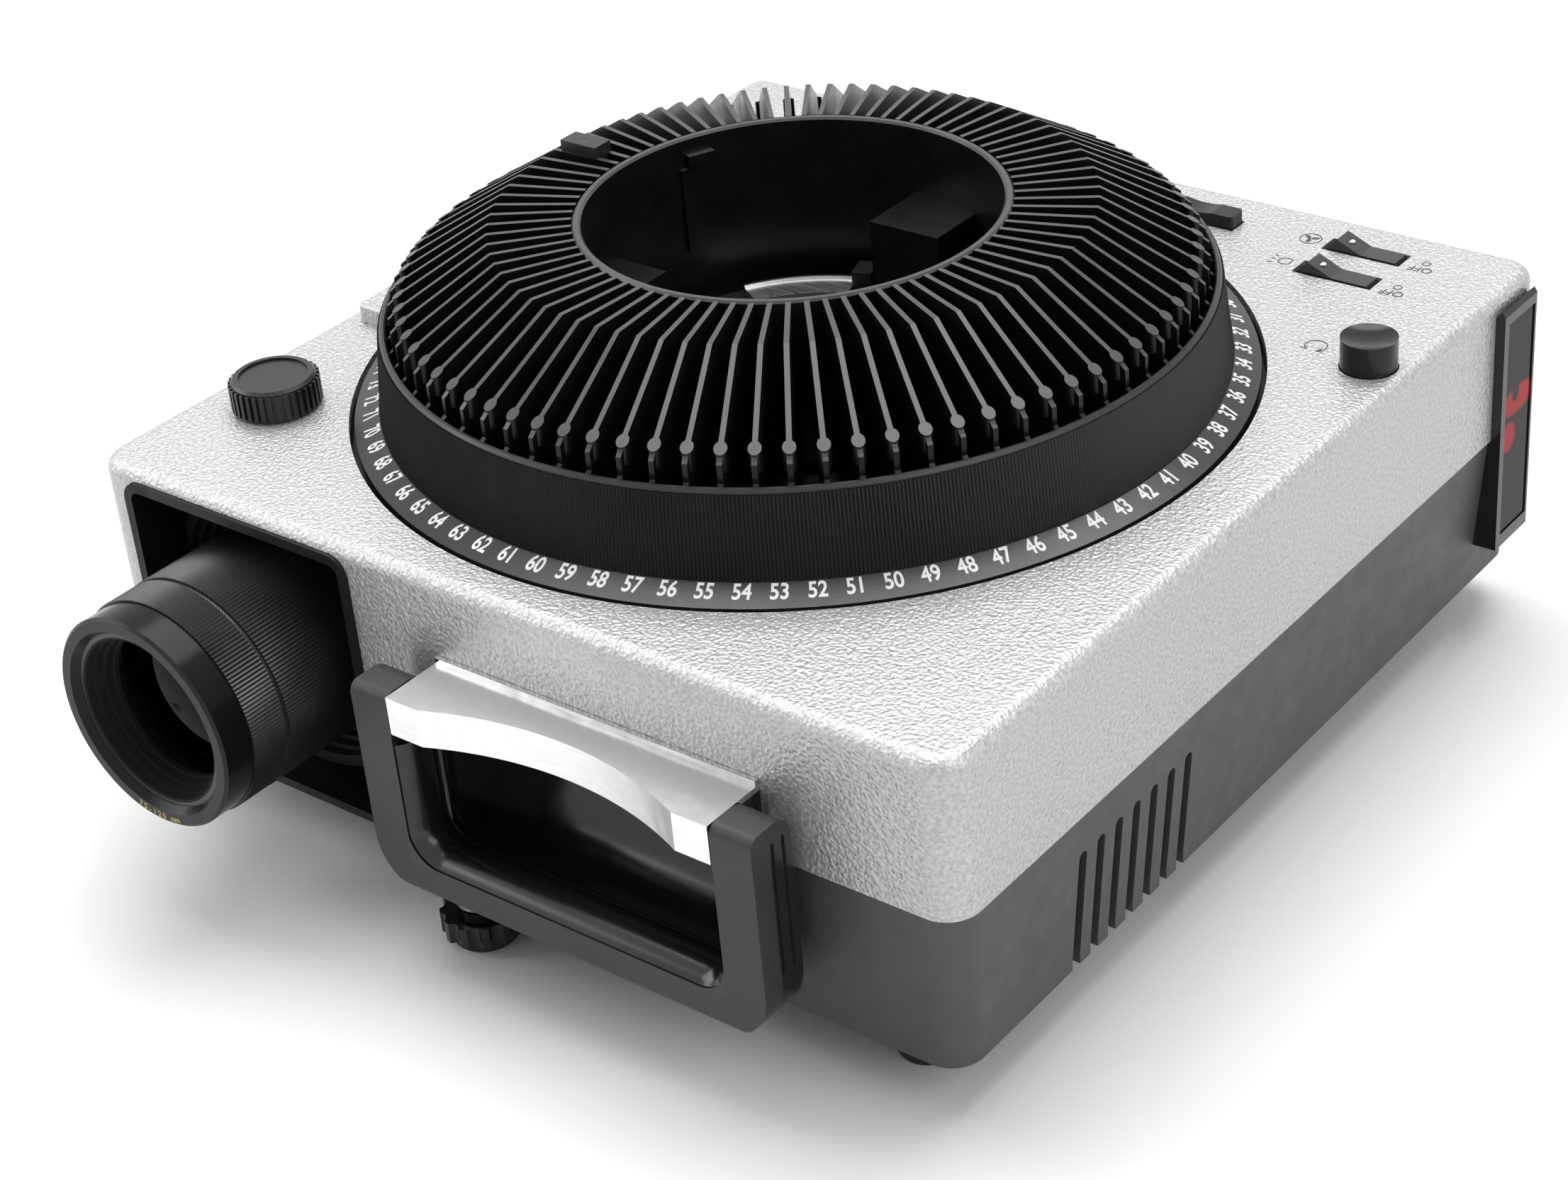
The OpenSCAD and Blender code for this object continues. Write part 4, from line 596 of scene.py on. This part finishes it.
def select_mark(place, fine):
    """A ring with a gap at its top and an arrow at each end."""
    radius, gap = 3.1 * MM, 38
    yield line(arc(radius, 90 + gap, 450 - gap), fine, place)
    for side in (-1, 1):
        a = math.radians(90 + side * gap)
        out = Vector((math.cos(a), math.sin(a)))
        ahead = Vector((math.sin(a), -math.cos(a))) * side
        tip = out * radius
        back = tip - ahead * 1.2 * MM
        barbs = [back + out * MM, tip + ahead * 0.5 * MM, back - out * MM]
        yield line([tuple(b) for b in barbs], fine, place)


def control_marks(ink):
    """Symbols and the word OFF beside the controls, upside down from the front."""
    fine = 0.34 * MM
    marks = [*off_marks(116.7, (134.3, 117.3), fine), *fan_mark(on_cover(79.9, 137.2), fine),
             *lamp_mark(on_cover(80.4, 120.8), fine), *select_mark(on_cover(114.2, 79.2), fine)]
    joined("control_marks", marks, ink, "casing")


def rocker_marks(white):
    """A cream dot on each rocker's raised end."""
    for node, body in (("power_rocker", "power_switch"), ("lamp_rocker", "lamp_switch")):
        low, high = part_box(node)
        spot = Vector((low[0] + 7.2 * MM, (low[1] + high[1]) / 2, high[2] - 1.2 * MM))
        dot = disc(2.0 * MM, 2.0 * MM, Matrix.Translation(spot) @ turned(7, "Y"))
        joined(node + "_dot", [dot], white, body)


def lens_numbers(gold):
    """The zoom's range in gold at the foot of the lens's front ring, with its tops to the middle."""
    words, middle, spacing = "75-120 mm", 268, 3.5
    marks = []
    for i, letter in enumerate(words):
        degrees = middle + (i - (len(words) - 1) / 2) * spacing
        x, z = on_circle(28.9 * MM, degrees, (LENS_X, LENS_Z))
        place = Matrix.Translation(Vector((x, LENS_Y, z))) @ turned(90, "X") @ turned(degrees + 90, "Z")
        if letter != " ":
            marks.append(text(letter, 2.6 * MM, place, 0.01 * MM, bold=0.03 * MM))
    joined("lens_numbers", marks, gold, "lens")


def springs(steel):
    """The button springs, copied in steel and riding on the casing."""
    travels = {joint["name"]: max(abs(v) for v in joint["range_m"]) for joint in frame["joints"]
               if joint["name"].endswith("_press")}
    for name, travel in travels.items():
        node = name.replace("_press", "_spring")
        piece = linked(node + "_wire", NODES[node].data.copy(), NODES[node].matrix_world)
        piece.data.materials.clear()
        piece.data.materials.append(steel)
        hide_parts(node)
        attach(piece, "casing")
        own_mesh(piece)


# ---- Stage, light and camera ----


def seen_directly(graph):
    """1 for rays that show the background: from the camera, off metal and gloss, and through glass."""
    path = graph.nodes.new("ShaderNodeLightPath").outputs
    mirrored = graph.math("MAXIMUM", path["Is Glossy Ray"], path["Is Transmission Ray"])
    return graph.math("MAXIMUM", path["Is Camera Ray"], mirrored)


def stage():
    """A pale floor that keeps the shadow near the part and fades to white away from it."""
    finish = Finish("floor")
    finish.surface({
        "Base Color": finish.ramp(finish.noise(1.5, 2.0), (0.90, 0.90, 0.89), (0.93, 0.93, 0.92)),
        "Roughness": 0.75,
    })
    x, y = finish.position("X"), finish.position("Y")
    square = finish.math("ADD", finish.product(x, x), finish.product(y, y))
    away = finish.step(finish.math("SQRT", square), 0.5, 1.1)
    glow = finish.nodes.new("ShaderNodeEmission")
    mix = finish.nodes.new("ShaderNodeMixShader")
    finish.give(mix.inputs[0], finish.product(away, seen_directly(finish)))
    finish.give(mix.inputs[1], finish.shader.outputs[0])
    finish.give(mix.inputs[2], glow.outputs[0])
    finish.give(finish.nodes["Material Output"].inputs["Surface"], mix.outputs[0])
    side = 6.0
    corners = [(-side, -side, 0), (side, -side, 0), (side, side, 0), (-side, side, 0)]
    floor = mesh_object("floor", corners, [(0, 1, 2, 3)], finish.material)


def area_light(name, place, target, size, power):
    data = bpy.data.lights.new(name, "AREA")
    data.shape = "RECTANGLE"
    data.size, data.size_y = size
    data.energy = power
    lamp = linked(name, data)
    lamp.location = place
    lamp.rotation_euler = (Vector(target) - Vector(place)).to_track_quat("-Z", "Y").to_euler()


def lights():
    """A white surround, dimmer as a light than as it looks, and three soft lamps."""
    world = bpy.data.worlds.new("world")
    bpy.context.scene.world = world
    world.use_nodes = True
    graph = Graph(world.node_tree)
    background = graph.nodes["Background"]
    graph.give(background.inputs["Color"], (1, 1, 1))
    graph.give(background.inputs["Strength"], graph.math("MAXIMUM", seen_directly(graph), 0.42))
    area_light("over", (-0.2, 0.35, 1.5), (0, 0, 0.1), (1.6, 1.2), 26)
    area_light("left", (-1.4, -0.7, 0.9), (0, 0, 0.1), (1.0, 1.0), 9)
    area_light("right", (1.5, -0.2, 1.0), (0, 0, 0.08), (1.0, 1.2), 8)


def camera():
    """The photograph's viewing angle."""
    azimuth, elevation, roll = (math.radians(v) for v in (39.44, 30.84, -4.69))
    back = Vector((math.sin(azimuth) * math.cos(elevation), -math.cos(azimuth) * math.cos(elevation),
                   math.sin(elevation)))
    level = Vector((math.cos(azimuth), math.sin(azimuth), 0))
    above = back.cross(level)
    right = level * math.cos(roll) + above * math.sin(roll)
    up = above * math.cos(roll) - level * math.sin(roll)
    data = bpy.data.cameras.new("camera")
    data.sensor_width = 36
    data.lens = 70.65
    data.shift_x = -0.0305
    data.shift_y = -0.0255
    data.clip_end = 50
    place = Vector((TRAY_X + 0.47973, TRAY_Y - 0.57853, TOP_Z + 0.39012))
    turn = Matrix((right, up, back)).transposed().to_4x4()
    bpy.context.scene.camera = linked("camera", data, Matrix.Translation(place) @ turn)


def main():
    materials = paint_nodes()
    white = printed("white_print", (0.88, 0.88, 0.87)).material
    ink = printed("dark_print", (0.05, 0.05, 0.055)).material
    gold = printed("gold_print", (0.55, 0.38, 0.10), 0.35).material
    tray_numbers(white)
    wall_ribs(materials["flange_black"], materials["tunnel_black"])
    zero_mark(materials["black_plastic"])
    control_marks(ink)
    rocker_marks(white)
    lens_numbers(gold)
    springs(materials["steel"])
    stage()
    lights()
    camera()
    bpy.context.scene.view_settings.view_transform = "Standard"


main()
